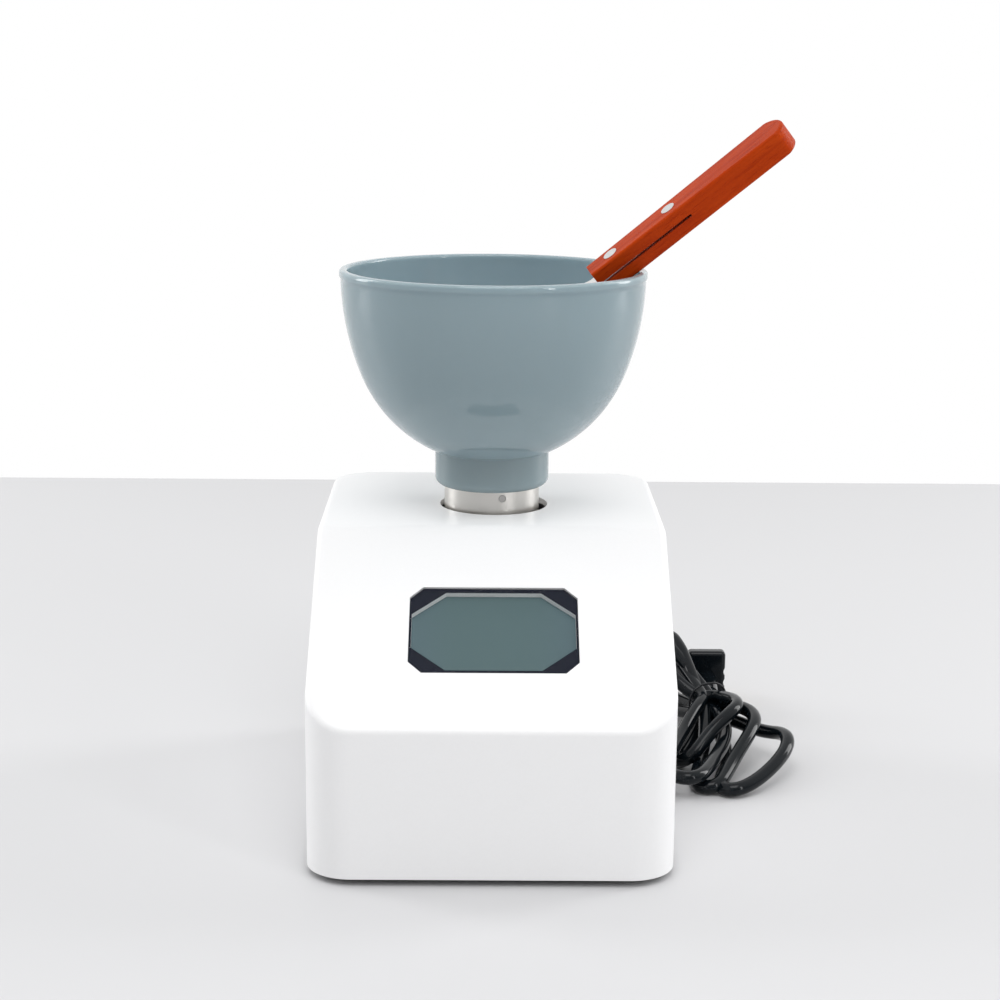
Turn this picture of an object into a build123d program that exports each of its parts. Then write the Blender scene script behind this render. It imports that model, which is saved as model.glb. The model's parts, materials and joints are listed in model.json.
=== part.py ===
from build123d import *
from math import asin, atan2, cos, degrees, pi, radians, sin, sqrt, tan
import os

os.makedirs("parts", exist_ok=True)

# Dental impression mixer: a sloped white housing with a display, a belt-driven spindle whose
# collar carries a mixing bowl, a spatula standing in the bowl and a mains lead tied in a hank.
# Frame: millimetres, +Z up, the table is z = 0, the spindle turns on the Z axis, and the sloped
# front with the display faces -Y.

# ---------------------------------------------------------------- driving dimensions
# Housing
body_width = 144.0
spindle_to_front = 128.0
spindle_to_back = 66.0
spindle_to_fold = 43.7
front_height = 63.0
deck_height = 123.0
rim_height = 3.0
cover_wall = 2.5
corner_radius = 18.0
top_edge_radius = 3.0
fold_radius = 9.0
deck_hole_radius = 23.2
deck_hole_shift = 0.9
boss_radius = 4.0
boss_inset = 13.0
gusset_thickness = 2.0

# Base and feet
foot_height = 4.0
foot_radius = 8.0
foot_inset = (22.0, 23.0)
base_thickness = 2.0
base_gap = 0.3
vent_length = 30.0
vent_width = 3.0
vent_pitch = 8.0
vent_count = 5

# Display, measured along the slope
display_up = 49.3
display_shift = 0.8
display_width = 67.1
display_height = 42.9
display_chamfer = 5.3
window_width = 65.2
window_height = 38.9
window_chamfer = (13.6, 11.0)
lens_thickness = 1.0
mask_thickness = 0.2
spacer_thickness = 2.4
spacer_margin = 2.0
lens_gap = 0.1
lcd_size = (72.0, 46.0, 2.0)
display_board_size = (104.0, 58.0)
board_thickness = 1.6
display_boss_inset = 4.0

# Spindle, collar and bearings
shaft_radius = 7.5
shaft_gap = 0.02
bearing_outer_radius = 16.0
bearing_width = 9.0
ring_thickness = 2.4
ball_radius = 2.4
ball_gap = 0.07
ball_count = 9
housing_barrel_radius = 20.0
housing_flange_radius = 28.0
housing_flange_thickness = 4.0
housing_lip = 3.0
housing_lip_radius = 12.0
circlip_thickness = 1.1
circlip_radius = 10.0
circlip_depth = 0.5
shaft_tail = 6.0
collar_radius = 20.4
collar_wall = 3.0
collar_below_deck = 7.0
collar_web_above_deck = 3.0
collar_web_thickness = 6.5
collar_pin_radius = 1.45
collar_pin_gap = 0.15
collar_pin_angle = 12.5
collar_pin_above_deck = 6.3

# Frame that carries the drive
post_radius = 4.5
post_length = 52.0
chassis_thickness = 3.0
chassis_half_width = 44.0
chassis_front = 104.0
chassis_back = 34.0
post_x = 24.0
post_y = (-98.0, 26.0)
collar_to_bearing = 4.0
bridge_half_width = 34.0
bridge_half_depth = 22.0
bridge_foot = 9.0
sheet_thickness = 3.0
plate_hole_radius = 14.0

# Belt drive
motor_offset = 62.0
spindle_pitch_radius = 22.5
motor_pitch_radius = 9.0
belt_thickness = 4.0
belt_width = 8.0
belt_gap = 0.3
belt_above_chassis = 11.0
flange_thickness = 1.6
flange_lip = 1.5
pulley_hub_radius = 11.0
pulley_recess_radius = 17.5

# Motor
motor_radius = 29.0
motor_bottom = 12.0
motor_wall = 2.0
motor_cap_thickness = 6.0
motor_shaft_radius = 4.0
motor_shaft_above_chassis = 18.0
motor_running_gap = 0.05
motor_boss_radius = 11.0
rotor_radius = 17.0
rotor_length = 26.0
magnet_thickness = 6.0
air_gap = 0.6
magnet_angle = 140.0

# Fasteners
thread_gap = 0.05
frame_screw_radius = 2.0
frame_screw_head = (3.6, 2.4)
frame_screw_length = 7.0
board_screw_radius = 1.5
board_screw_head = (2.7, 1.8)
board_screw_length = 5.0
base_screw_radius = 1.75
base_screw_head = (3.2, 1.9)
base_screw_length = 12.0
set_screw_radius = 1.5

# Boards on the base
side_board_length = 96.0
board_to_cover = 2.5
board_to_motor = 4.0
side_board_y = -46.0
standoff_radius = 3.0
standoff_height = 6.0
board_hole_inset = 3.5
transformer_core = (24.0, 28.0)
transformer_coil = (16.0, 32.0, 16.0)
part_gap = 1.5
capacitor_inset = 3.0
large_capacitors = ((6.5, 26.0, 28.0), (6.5, 20.0, 12.0))
small_capacitor = (5.0, 16.0)
terminal_depth = 9.0
terminal_height = 11.0
terminal_inset = 3.5
lead_count = 5
fuse_size = (2.6, 20.0)
fuse_clip = (7.0, 4.0)
fuse_rise = 5.0
fuse_inset = 7.0
main_chip = (12.0, 12.0, 1.6)
main_chip_front = 18.0
side_chip = (6.0, 8.0, 1.6)
side_chip_place = (8.0, 2.0)
sink_size = (24.0, 26.0, 22.0)
sink_to_chip = 3.0
fin_count = 4
fin_thickness = 1.8
sink_floor = 5.0
ribbon_size = (10.0, 0.8)
ribbon_to_chassis = 7.0
ribbon_drop = 8.0
ribbon_fold = (22.0, 16.0)
ribbon_run = 3.0
ribbon_bend = 3.0
connector_size = (14.0, 6.0, 8.0)
motor_plug = (6.0, 12.0, 8.0)
motor_plug_inset = 1.0
motor_lead_height = 32.0

# Mains inlet and switch in the rear wall
inlet_x = 30.0
panel_height = 40.0
inlet_cutout = (27.2, 20.2)
inlet_flange = (31.0, 24.5, 2.5)
inlet_depth = 22.0
inlet_wall = 1.4
recess_depth = 16.0
pin_pitch = 7.0
earth_rise = 4.0
inlet_pin = (4.0, 2.0)
inlet_pin_reach = 13.0
inlet_tab = 7.0
connector_gap = 0.25
switch_x = -38.0
switch_cutout = (13.2, 19.2)
switch_flange = (15.0, 21.0, 2.0)
switch_depth = 13.0
paddle_half_length = 8.2
paddle_width = 10.4
paddle_gap = 0.35
paddle_tilt = 8.0
pivot_radius = 1.2

# Bowl
bowl_neck_above_deck = 9.0
bowl_height = 92.5
bowl_wall = 3.0
rim_radius = 65.2
rim_bead_height = 3.6
rim_round = 1.2
widest_below_rim = 2.0
widest_radius = 64.6
upper_arc_radius = 113.5
lower_arc_radius = 61.35
arc_meet_angle = 22.26
neck_radius = 24.5
neck_round = 3.5
neck_crease_round = 0.5
floor_thickness = 3.4
floor_flat_radius = 9.0
bowl_fit = 0.1

# Spatula
spatula_elevation = 39.2
spatula_roll = 14.0
handle_end_x = 44.0
handle_end_above_rim = -5.1
handle_length = 101.0
handle_thickness = (12.6, 11.4)
handle_width = (12.0, 18.0)
handle_dome = 5.5
handle_corner_radius = 3.0
handle_edge_radius = 1.2
kerf_length = 48.0
kerf_width = 1.2
tang_width = 10.0
tang_length = 46.0
blade_width = 24.0
blade_thickness = 1.0
blade_shoulder = 14.0
tip_gap = 0.3
rivet_radius = 3.2
rivet_gap = 0.03
rivet_places = (11.5, 42.0)

# Mains lead
cord_diameter = 6.2
boot_length = 20.0
boot_radius = (6.0, 3.9)
connector_block = (28.0, 22.0, 18.0)
plug_x = 105.5
plug_axis_height = 15.9
plug_near_y = 84.0
plug_body = (18.4, 15.0, 29.2)
plug_shoulder = 21.0
plug_blade = (1.5, 6.35, 17.5)
plug_blade_pitch = 12.7
earth_pin = (2.4, 20.0)
earth_drop = 11.9
plug_blade_rise = 1.9
plug_top_thickness = 6.0
plug_relief_length = 20.0
plug_rib_pitch = 5.5
tail_start_y = 54.0
plug_relief_radius = (5.5, 3.5)
hank_thickness = 12.6
hank_waist_radius = 7.6
hank_end_radius = 21.0
tie_radius = 0.5
tie_size = (20.0, 19.8, 8.0)
tie_back = 1.5
tie_rise = 0.7

# ---------------------------------------------------------------- derived places
side_board_size = (body_width / 2 - cover_wall - board_to_cover - motor_radius - board_to_motor,
                   side_board_length)
side_board_x = motor_radius + board_to_motor + side_board_size[0] / 2
BASE = (Align.CENTER, Align.CENTER, Align.MIN)
base_bottom = foot_height
base_top = base_bottom + base_thickness
body_centre_y = (spindle_to_back - spindle_to_front) / 2
body_depth = spindle_to_back + spindle_to_front
slope_angle = atan2(deck_height - front_height, spindle_to_front - spindle_to_fold)
slope = Plane(origin=(0, -spindle_to_front, front_height), x_dir=(1, 0, 0),
              z_dir=(0, -sin(slope_angle), cos(slope_angle)))
display = slope * Pos(display_shift, display_up, 0)

chassis_bottom = base_top + post_length
chassis_top = chassis_bottom + chassis_thickness
collar_bottom = deck_height - collar_below_deck
bridge_top = collar_bottom - collar_to_bearing - bearing_width - housing_lip
lower_bearing_bottom = chassis_bottom - bearing_width
upper_bearing_top = bridge_top + bearing_width
belt_height = chassis_top + belt_above_chassis

neck_bottom = deck_height + bowl_neck_above_deck
rim_top = neck_bottom + bowl_height
upper_centre = (widest_radius - upper_arc_radius, rim_top - widest_below_rim)
meet = radians(arc_meet_angle)
lower_centre = (upper_centre[0] + (upper_arc_radius - lower_arc_radius) * cos(meet),
                upper_centre[1] - (upper_arc_radius - lower_arc_radius) * sin(meet))
inner_arc_radius = lower_arc_radius - bowl_wall
floor_height = lower_centre[1] - sqrt(
    inner_arc_radius ** 2 - (floor_flat_radius - lower_centre[0]) ** 2)
collar_top = floor_height - floor_thickness
web_bottom = deck_height + collar_web_above_deck
web_top = web_bottom + collar_web_thickness


# ---------------------------------------------------------------- helpers
def rod(radius, bottom, top, x=0.0, y=0.0):
    """Upright cylinder between two heights."""
    return Pos(x, y, bottom) * Cylinder(radius, top - bottom, align=BASE)


def ring(outer, inner, bottom, top, x=0.0, y=0.0):
    """Upright tube between two heights."""
    return rod(outer, bottom, top, x, y) - rod(inner, bottom, top, x, y)


def block(x0, x1, y0, y1, z0, z1):
    """Box between two corners."""
    return Pos((x0 + x1) / 2, (y0 + y1) / 2, (z0 + z1) / 2) * Box(x1 - x0, y1 - y0, z1 - z0)


def pan_screw(radius, head, length):
    """Screw with its head's underside at the origin and its shank down -Z."""
    cap = Cylinder(head[0], head[1], align=BASE)
    cap = fillet(cap.edges().group_by(Axis.Z)[-1], head[1] * 0.4)
    cap -= Pos(0, 0, head[1] * 0.5) * Box(head[0] * 1.2, head[0] * 0.25, head[1])
    cap -= Pos(0, 0, head[1] * 0.5) * Box(head[0] * 0.25, head[0] * 1.2, head[1])
    return cap + Pos(0, 0, -length) * Cylinder(radius, length, align=BASE)


def save(shape, name):
    """Write one node."""
    export_step(shape, "parts/" + name + ".step")


def group(solids):
    """Separate solids in one node."""
    return Compound(children=list(solids))


def octagon(width, height, cut_x, cut_y):
    """Rectangle with its four corners cut off."""
    x = width / 2
    y = height / 2
    return make_face(Polyline((x - cut_x, -y), (x, cut_y - y), (x, y - cut_y), (x - cut_x, y),
                              (cut_x - x, y), (-x, y - cut_y), (-x, cut_y - y), (cut_x - x, -y),
                              close=True))


def slab(face, top, thickness):
    """Plate along the slope's normal, from top down by thickness."""
    return display * Pos(0, 0, top - thickness) * extrude(face, amount=thickness)


def housing_form(inset, bottom):
    """The sloped block of the housing with every face but its bottom drawn in by inset."""
    side = make_face(Polyline(
        (-spindle_to_front, bottom - inset), (-spindle_to_front, front_height),
        (-spindle_to_fold, deck_height), (spindle_to_back, deck_height),
        (spindle_to_back, bottom - inset), close=True))
    fold = side.vertices().sort_by_distance((-spindle_to_fold, deck_height, 0))[0]
    side = fillet(fold, fold_radius)
    if inset:
        side = offset(side, amount=-inset, kind=Kind.INTERSECTION)
    form = extrude(Plane.YZ * side, amount=body_width / 2, both=True)
    plan = RectangleRounded(body_width - 2 * inset, body_depth - 2 * inset, corner_radius - inset)
    form &= Pos(0, body_centre_y, bottom) * extrude(plan, amount=deck_height)
    shoulder = []
    for edge in form.edges():
        box = edge.bounding_box()
        upright = box.size.X < 0.01 and box.size.Y < 0.01
        crease = (box.size.Y < 0.01 and box.size.Z < 0.01
                  and box.min.Y > 1 - spindle_to_front + inset
                  and box.max.Y < spindle_to_back - inset - 1)
        if box.max.Z > bottom + 1 and not upright and not crease:
            shoulder.append(edge)
    return fillet(shoulder, max(top_edge_radius - inset, 0.5))


# ---------------------------------------------------------------- housing
boss_x = body_width / 2 - boss_inset
boss_places = [(side * boss_x, y) for side in (-1, 1)
               for y in (boss_inset - spindle_to_front, spindle_to_back - boss_inset)]
display_boss_places = [(sx * (display_board_size[0] / 2 - display_boss_inset),
                        sy * (display_board_size[1] / 2 - display_boss_inset))
                       for sx in (-1, 1) for sy in (-1, 1)]
lcd_front = -(lens_thickness + mask_thickness + spacer_thickness)
display_board_front = lcd_front - lcd_size[2]


def make_cover():
    """Hollow shell, open below, with screw posts in its corners and its four openings."""
    middle = housing_form(cover_wall / 2, rim_height)
    cover = housing_form(0, rim_height) - housing_form(cover_wall, rim_height - 1)
    for x, y in boss_places:
        out = 1 if x > 0 else -1
        web = block(min(x, x + out * boss_inset), max(x, x + out * boss_inset),
                    y - gusset_thickness / 2, y + gusset_thickness / 2, base_top, deck_height)
        cover += (rod(boss_radius, base_top, deck_height, x, y) + web) & middle
    for x, y in boss_places:
        cover -= rod(base_screw_radius + thread_gap, base_top, base_top + base_screw_length + 2, x, y)
    for x, y in display_boss_places:
        stud = Pos(x, y, display_board_front) * Cylinder(
            standoff_radius, -display_board_front - cover_wall / 2, align=BASE)
        stud -= Pos(x, y, display_board_front) * Cylinder(
            board_screw_radius + thread_gap, -display_board_front - cover_wall / 2, align=BASE)
        cover += display * stud
    cover -= slab(octagon(display_width, display_height, display_chamfer, display_chamfer), 1, 10)
    cover -= rod(deck_hole_radius, deck_height - 20, deck_height + 1, deck_hole_shift)
    cover -= block(inlet_x - inlet_cutout[0] / 2, inlet_x + inlet_cutout[0] / 2,
                   spindle_to_back - 10, spindle_to_back + 1,
                   panel_height - inlet_cutout[1] / 2, panel_height + inlet_cutout[1] / 2)
    cover -= block(switch_x - switch_cutout[0] / 2, switch_x + switch_cutout[0] / 2,
                   spindle_to_back - 10, spindle_to_back + 1,
                   panel_height - switch_cutout[1] / 2, panel_height + switch_cutout[1] / 2)
    return cover


foot_places = [(side * (body_width / 2 - foot_inset[0]), y) for side in (-1, 1)
               for y in (foot_inset[1] - spindle_to_front, spindle_to_back - foot_inset[1])]
standoff_places = [(bx + sx * (side_board_size[0] / 2 - board_hole_inset),
                    side_board_y + sy * (side_board_size[1] / 2 - board_hole_inset))
                   for bx in (-side_board_x, side_board_x) for sx in (-1, 1) for sy in (-1, 1)]
post_places = [(side * post_x, y) for side in (-1, 1) for y in post_y]


def make_base():
    """Bottom plate inside the cover's rim, with countersinks, screw holes and vent slots."""
    inset = cover_wall + base_gap
    plan = RectangleRounded(body_width - 2 * inset, body_depth - 2 * inset, corner_radius - inset)
    plate = Pos(0, body_centre_y, base_bottom) * extrude(plan, amount=base_thickness)
    for x, y in boss_places:
        plate -= rod(base_screw_radius + thread_gap, base_bottom, base_top, x, y)
    for x, y in foot_places:
        plate -= rod(base_screw_radius + thread_gap, base_bottom, base_top, x, y)
    for x, y in post_places:
        plate -= rod(frame_screw_radius + thread_gap, base_bottom, base_top, x, y)
    first = -(vent_count - 1) / 2
    for i in range(vent_count):
        slot = SlotOverall(vent_length, vent_width)
        plate -= Pos(0, (first + i) * vent_pitch - motor_offset, base_bottom) * extrude(
            slot, amount=base_thickness)
    return plate


def make_foot(x, y):
    """Tapered rubber foot with a screw recess in its underside."""
    foot = Pos(x, y, 0) * Cone(foot_radius - 0.8, foot_radius, foot_height, align=BASE)
    foot -= rod(base_screw_radius + thread_gap, 0, foot_height, x, y)
    foot -= rod(base_screw_head[0] + 0.4, 0, foot_height - 1.4, x, y)
    return foot


base_screw = Rot(180, 0, 0) * pan_screw(base_screw_radius, base_screw_head, base_screw_length)
foot_screw = Rot(180, 0, 0) * pan_screw(base_screw_radius, base_screw_head, base_thickness + 2.4)

cover = make_cover()
save(cover, "upper_cover")
save(make_base(), "base_plate")
save(group(make_foot(x, y) for x, y in foot_places), "rubber_feet")
save(group(Pos(x, y, foot_height - 1.4) * foot_screw for x, y in foot_places), "foot_screws")
save(group(Pos(x, y, base_bottom) * base_screw for x, y in boss_places), "base_screws")

# ---------------------------------------------------------------- display
lens_face = octagon(display_width - 2 * lens_gap, display_height - 2 * lens_gap,
                    display_chamfer, display_chamfer)
window = octagon(window_width, window_height, window_chamfer[0], window_chamfer[1])
spacer_outer = octagon(display_width - 2 * lens_gap, display_height - 2 * lens_gap,
                       display_chamfer, display_chamfer)
mask_top = -lens_thickness
spacer_top = mask_top - mask_thickness
save(slab(lens_face, 0, lens_thickness), "display_lens")
save(slab(lens_face - window, mask_top, mask_thickness), "display_mask")
save(slab(spacer_outer - window, spacer_top, spacer_thickness), "display_spacer")
save(slab(Rectangle(lcd_size[0], lcd_size[1]), lcd_front, lcd_size[2]), "lcd_panel")

display_board = Rectangle(display_board_size[0], display_board_size[1])
for x, y in display_boss_places:
    display_board -= Pos(x, y) * Circle(board_screw_radius + thread_gap)
save(slab(display_board, display_board_front, board_thickness), "display_board")
display_board_back = display_board_front - board_thickness

# ---------------------------------------------------------------- frame
save(group(rod(post_radius, base_top, chassis_bottom, x, y)
           - rod(frame_screw_radius + thread_gap, base_top, chassis_bottom, x, y)
           for x, y in post_places), "chassis_posts")

housing_bolt_circle = (housing_barrel_radius + housing_flange_radius) / 2
housing_bolts = [(housing_bolt_circle * cos(radians(a)), housing_bolt_circle * sin(radians(a)))
                 for a in (45, 135, 225, 315)]
motor_bolt_circle = (motor_boss_radius + motor_radius) / 2
motor_bolts = [(motor_bolt_circle * cos(radians(a)),
                motor_bolt_circle * sin(radians(a)) - motor_offset) for a in (45, 135, 225, 315)]
foot_x = bridge_half_width + bridge_foot / 2
foot_y = bridge_half_depth * 0.65
bridge_bolts = [(sx * foot_x, sy * foot_y) for sx in (-1, 1) for sy in (-1, 1)]


def make_chassis():
    """Steel plate on four posts: the spindle's lower bearing and the motor hang under it."""
    depth = chassis_front + chassis_back
    plan = RectangleRounded(2 * chassis_half_width, depth, 4)
    plate = Pos(0, (chassis_back - chassis_front) / 2, chassis_bottom) * extrude(
        plan, amount=chassis_thickness)
    plate -= rod(plate_hole_radius, chassis_bottom, chassis_top)
    plate -= rod(motor_boss_radius + base_gap, chassis_bottom, chassis_top, 0, -motor_offset)
    for x, y in post_places + housing_bolts + motor_bolts + bridge_bolts:
        plate -= rod(frame_screw_radius + thread_gap, chassis_bottom, chassis_top, x, y)
    return plate


def make_bridge():
    """Bent sheet bridge over the spindle pulley that carries the upper bearing."""
    w = bridge_half_width
    d = bridge_half_depth
    top = bridge_top
    outline = Polyline(
        (-w - bridge_foot, chassis_top), (-w + sheet_thickness, chassis_top),
        (-w + sheet_thickness, top - sheet_thickness), (w - sheet_thickness, top - sheet_thickness),
        (w - sheet_thickness, chassis_top), (w + bridge_foot, chassis_top),
        (w + bridge_foot, chassis_top + sheet_thickness), (w, chassis_top + sheet_thickness),
        (w, top), (-w, top), (-w, chassis_top + sheet_thickness),
        (-w - bridge_foot, chassis_top + sheet_thickness), close=True)
    bridge = extrude(Plane.XZ * make_face(outline), amount=d, both=True)
    bridge -= rod(plate_hole_radius, top - sheet_thickness, top)
    for x, y in housing_bolts:
        bridge -= rod(frame_screw_radius + thread_gap, top - sheet_thickness, top, x, y)
    for x, y in bridge_bolts:
        bridge -= rod(frame_screw_radius + thread_gap, chassis_top,
                      chassis_top + sheet_thickness, x, y)
    return bridge


def make_bearing_housing():
    """Flanged cup that opens at its flange, at z = 0, with the bearing seat above it."""
    cup = rod(housing_flange_radius, 0, housing_flange_thickness)
    cup += rod(housing_barrel_radius, 0, bearing_width + housing_lip)
    cup -= rod(bearing_outer_radius + shaft_gap, 0, bearing_width)
    cup -= rod(housing_lip_radius, 0, bearing_width + housing_lip)
    for x, y in housing_bolts:
        cup -= rod(frame_screw_radius + thread_gap, 0, housing_flange_thickness, x, y)
    return cup


bearing_housing = make_bearing_housing()
save(make_chassis(), "chassis_plate")
save(make_bridge(), "bearing_bridge")
save(Pos(0, 0, bridge_top) * bearing_housing, "upper_bearing_housing")
save(Pos(0, 0, chassis_bottom) * Rot(180, 0, 0) * bearing_housing, "lower_bearing_housing")

frame_screw = pan_screw(frame_screw_radius, frame_screw_head, frame_screw_length)
frame_screws = [Pos(x, y, chassis_top) * frame_screw for x, y in post_places + motor_bolts]
frame_screws += [Pos(x, y, chassis_top) * frame_screw for x, y in housing_bolts]
frame_screws += [Pos(x, y, base_bottom) * Rot(180, 0, 0) * frame_screw for x, y in post_places]
frame_screws += [Pos(x, y, bridge_top + housing_flange_thickness) * frame_screw
                 for x, y in housing_bolts]
frame_screws += [Pos(x, y, chassis_top + sheet_thickness) * frame_screw for x, y in bridge_bolts]
save(group(frame_screws), "frame_screws")

# ---------------------------------------------------------------- spindle and bearings
bearing_bottoms = (lower_bearing_bottom, bridge_top)
ball_circle = (shaft_radius + bearing_outer_radius) / 2


def race(radius):
    """Ring-shaped groove that the balls of one bearing run in, about z = 0."""
    return Torus(ball_circle, radius)


def make_shaft():
    """Spindle shaft with a groove for each retaining ring and a blind hole for the collar's pin."""
    shaft = rod(shaft_radius, lower_bearing_bottom - shaft_tail, web_top)
    for low in circlip_bottoms:
        shaft -= ring(shaft_radius + 1, shaft_radius - circlip_depth, low, low + circlip_thickness)
    shaft -= pin_line * Cylinder(collar_pin_radius + collar_pin_gap, 2 * collar_radius, align=BASE)
    return shaft


def make_circlip(low):
    """Open retaining ring."""
    clip = ring(circlip_radius, shaft_radius - circlip_depth + shaft_gap, low,
                low + circlip_thickness)
    return clip - block(-2.5, 2.5, 0, circlip_radius + 1, low, low + circlip_thickness)


circlip_bottoms = (lower_bearing_bottom - circlip_thickness, upper_bearing_top)
pin_turn = radians(collar_pin_angle)
pin_depth = collar_radius - 3.0
pin_line = Plane(origin=(3.0 * sin(pin_turn), -3.0 * cos(pin_turn),
                         deck_height + collar_pin_above_deck),
                 z_dir=(sin(pin_turn), -cos(pin_turn), 0))


def make_collar():
    """Drive collar: a ring with a web that is pinned to the spindle."""
    collar = ring(collar_radius, collar_radius - collar_wall,
                  collar_bottom, collar_top)
    collar = chamfer(collar.edges().group_by(Axis.Z)[-1], 0.5)
    collar += rod(collar_radius - collar_wall / 2, web_bottom, web_top)
    collar -= rod(shaft_radius + shaft_gap, web_bottom, web_top)
    collar -= pin_line * Cylinder(collar_pin_radius + collar_pin_gap, 2 * collar_radius, align=BASE)
    return collar


save(make_shaft(), "spindle_shaft")
save(group(make_circlip(low) for low in circlip_bottoms), "shaft_circlips")
save(group(ring(bearing_outer_radius, bearing_outer_radius - ring_thickness, low,
                low + bearing_width)
           - Pos(0, 0, low + bearing_width / 2) * race(ball_radius + ball_gap)
           for low in bearing_bottoms), "bearing_outer_rings")
save(group(ring(shaft_radius + ring_thickness, shaft_radius + shaft_gap, low, low + bearing_width)
           - Pos(0, 0, low + bearing_width / 2) * race(ball_radius + ball_gap)
           for low in bearing_bottoms), "bearing_inner_rings")
save(group(Pos(ball_circle * cos(2 * pi * i / ball_count), ball_circle * sin(2 * pi * i / ball_count),
               low + bearing_width / 2) * Sphere(ball_radius)
           for low in bearing_bottoms for i in range(ball_count)), "bearing_balls")
save(make_collar(), "drive_collar")
save(pin_line * Cylinder(collar_pin_radius, pin_depth - 0.05, align=BASE), "collar_pin")

# ---------------------------------------------------------------- belt drive
belt_low = belt_height - belt_width / 2
belt_high = belt_height + belt_width / 2


def belt_loop(extra):
    """Outline round both pulleys, extra beyond the pitch radius."""
    wheels = (Circle(spindle_pitch_radius + extra)
              + Pos(0, -motor_offset) * Circle(motor_pitch_radius + extra))
    return make_hull(wheels.edges())


def make_pulley(pitch_radius, hub_radius, bore, hub_low, hub_high):
    """Flanged pulley on a long hub, on the Z axis."""
    floor = pitch_radius - belt_thickness / 2 - belt_gap
    rim_low = belt_low - belt_gap
    rim_high = belt_high + belt_gap
    lip = pitch_radius + belt_thickness / 2 + flange_lip
    wheel = rod(floor, rim_low, rim_high)
    wheel += rod(lip, rim_low - flange_thickness, rim_low)
    wheel += rod(lip, rim_high, rim_high + flange_thickness)
    if floor > pulley_recess_radius:
        for low, high in ((rim_low - flange_thickness, belt_height - 2),
                          (belt_height + 2, rim_high + flange_thickness)):
            wheel -= ring(pulley_recess_radius, hub_radius, low, high)
    wheel += rod(hub_radius, hub_low, hub_high)
    return wheel - rod(bore, hub_low, hub_high)


belt_face = belt_loop(belt_thickness / 2) - belt_loop(-belt_thickness / 2)
save(Pos(0, 0, belt_low) * extrude(belt_face, amount=belt_width), "drive_belt")

spindle_screw_height = (belt_high + bridge_top) / 2
motor_hub_top = belt_high + 6
spindle_pulley = make_pulley(spindle_pitch_radius, pulley_hub_radius, shaft_radius + shaft_gap,
                             chassis_bottom, bridge_top)
spindle_tap = Plane(origin=(0, 0, spindle_screw_height), z_dir=(0, 1, 0))
spindle_pulley -= spindle_tap * Cylinder(set_screw_radius + thread_gap, 20, align=BASE)
save(spindle_pulley, "spindle_pulley")
save(spindle_tap * Pos(0, 0, shaft_radius + 0.1) * Cylinder(
    set_screw_radius, pulley_hub_radius - shaft_radius - 0.3, align=BASE), "spindle_set_screw")

motor_pulley_bottom = belt_low - belt_gap - flange_thickness
motor_pulley = Pos(0, -motor_offset, 0) * make_pulley(
    motor_pitch_radius, motor_pitch_radius - belt_thickness / 2 - belt_gap,
    motor_shaft_radius + shaft_gap, motor_pulley_bottom, motor_hub_top)
motor_tap = Plane(origin=(0, -motor_offset, motor_hub_top - 2), z_dir=(0, 1, 0))
motor_pulley -= motor_tap * Cylinder(set_screw_radius + thread_gap, 20, align=BASE)
save(motor_pulley, "motor_pulley")
save(motor_tap * Pos(0, 0, motor_shaft_radius + 0.1) * Cylinder(
    set_screw_radius, motor_pitch_radius - belt_thickness / 2 - belt_gap - motor_shaft_radius - 0.2,
    align=BASE), "motor_set_screw")

# ---------------------------------------------------------------- motor
motor_top = chassis_bottom
can_top = motor_top - motor_cap_thickness
rotor_low = motor_bottom + (can_top - motor_bottom - rotor_length) / 2


def make_can():
    """Drawn cup with a bearing boss in its floor."""
    can = rod(motor_radius, motor_bottom, can_top)
    can = fillet(can.edges().group_by(Axis.Z)[0], motor_wall)
    can -= rod(motor_radius - motor_wall, motor_bottom + motor_wall, can_top)
    can += rod(motor_boss_radius, motor_bottom, motor_bottom + 2 * motor_wall)
    can -= rod(motor_shaft_radius + motor_running_gap, motor_bottom + motor_wall,
               motor_bottom + 2 * motor_wall)
    return Pos(0, -motor_offset, 0) * can


def make_cap():
    """End cap that closes the can and bolts under the chassis plate."""
    cap = rod(motor_radius, can_top, motor_top)
    cap += rod(motor_boss_radius, can_top, chassis_top)
    cap -= rod(motor_shaft_radius + motor_running_gap, can_top, chassis_top)
    cap = Pos(0, -motor_offset, 0) * cap
    for x, y in motor_bolts:
        cap -= rod(frame_screw_radius + thread_gap, motor_top - 4.5, motor_top, x, y)
    return cap


def make_magnet(turn):
    """Curved magnet against the can's wall."""
    outer = motor_radius - motor_wall
    arc = ring(outer, outer - magnet_thickness, rotor_low, rotor_low + rotor_length)
    keep = outer * 2
    half = radians(magnet_angle / 2)
    wedge = make_face(Polyline((0, 0), (keep * cos(half), -keep * sin(half)), (keep, 0),
                               (keep * cos(half), keep * sin(half)), close=True))
    arc &= Pos(0, 0, rotor_low) * extrude(wedge, amount=rotor_length)
    return Pos(0, -motor_offset, 0) * Rot(0, 0, turn) * arc


save(make_can(), "motor_can")
save(make_cap(), "motor_end_cap")
save(group(make_magnet(turn) for turn in (0, 180)), "motor_magnets")
save(rod(motor_shaft_radius, motor_bottom + motor_wall + 0.3,
         chassis_top + motor_shaft_above_chassis, 0, -motor_offset), "motor_shaft")
save(ring(motor_radius - motor_wall - magnet_thickness - air_gap, motor_shaft_radius + shaft_gap,
          rotor_low, rotor_low + rotor_length, 0, -motor_offset), "motor_rotor")

# ---------------------------------------------------------------- boards
board_bottom = base_top + standoff_height
board_top = board_bottom + board_thickness


def make_side_board(x):
    """Circuit board on four standoffs."""
    board = Rectangle(side_board_size[0], side_board_size[1])
    for sx, sy in standoff_places:
        if (sx > 0) == (x > 0):
            board -= Pos(sx - x, sy - side_board_y) * Circle(board_screw_radius + thread_gap)
    return Pos(x, side_board_y, board_bottom) * extrude(board, amount=board_thickness)


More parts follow.
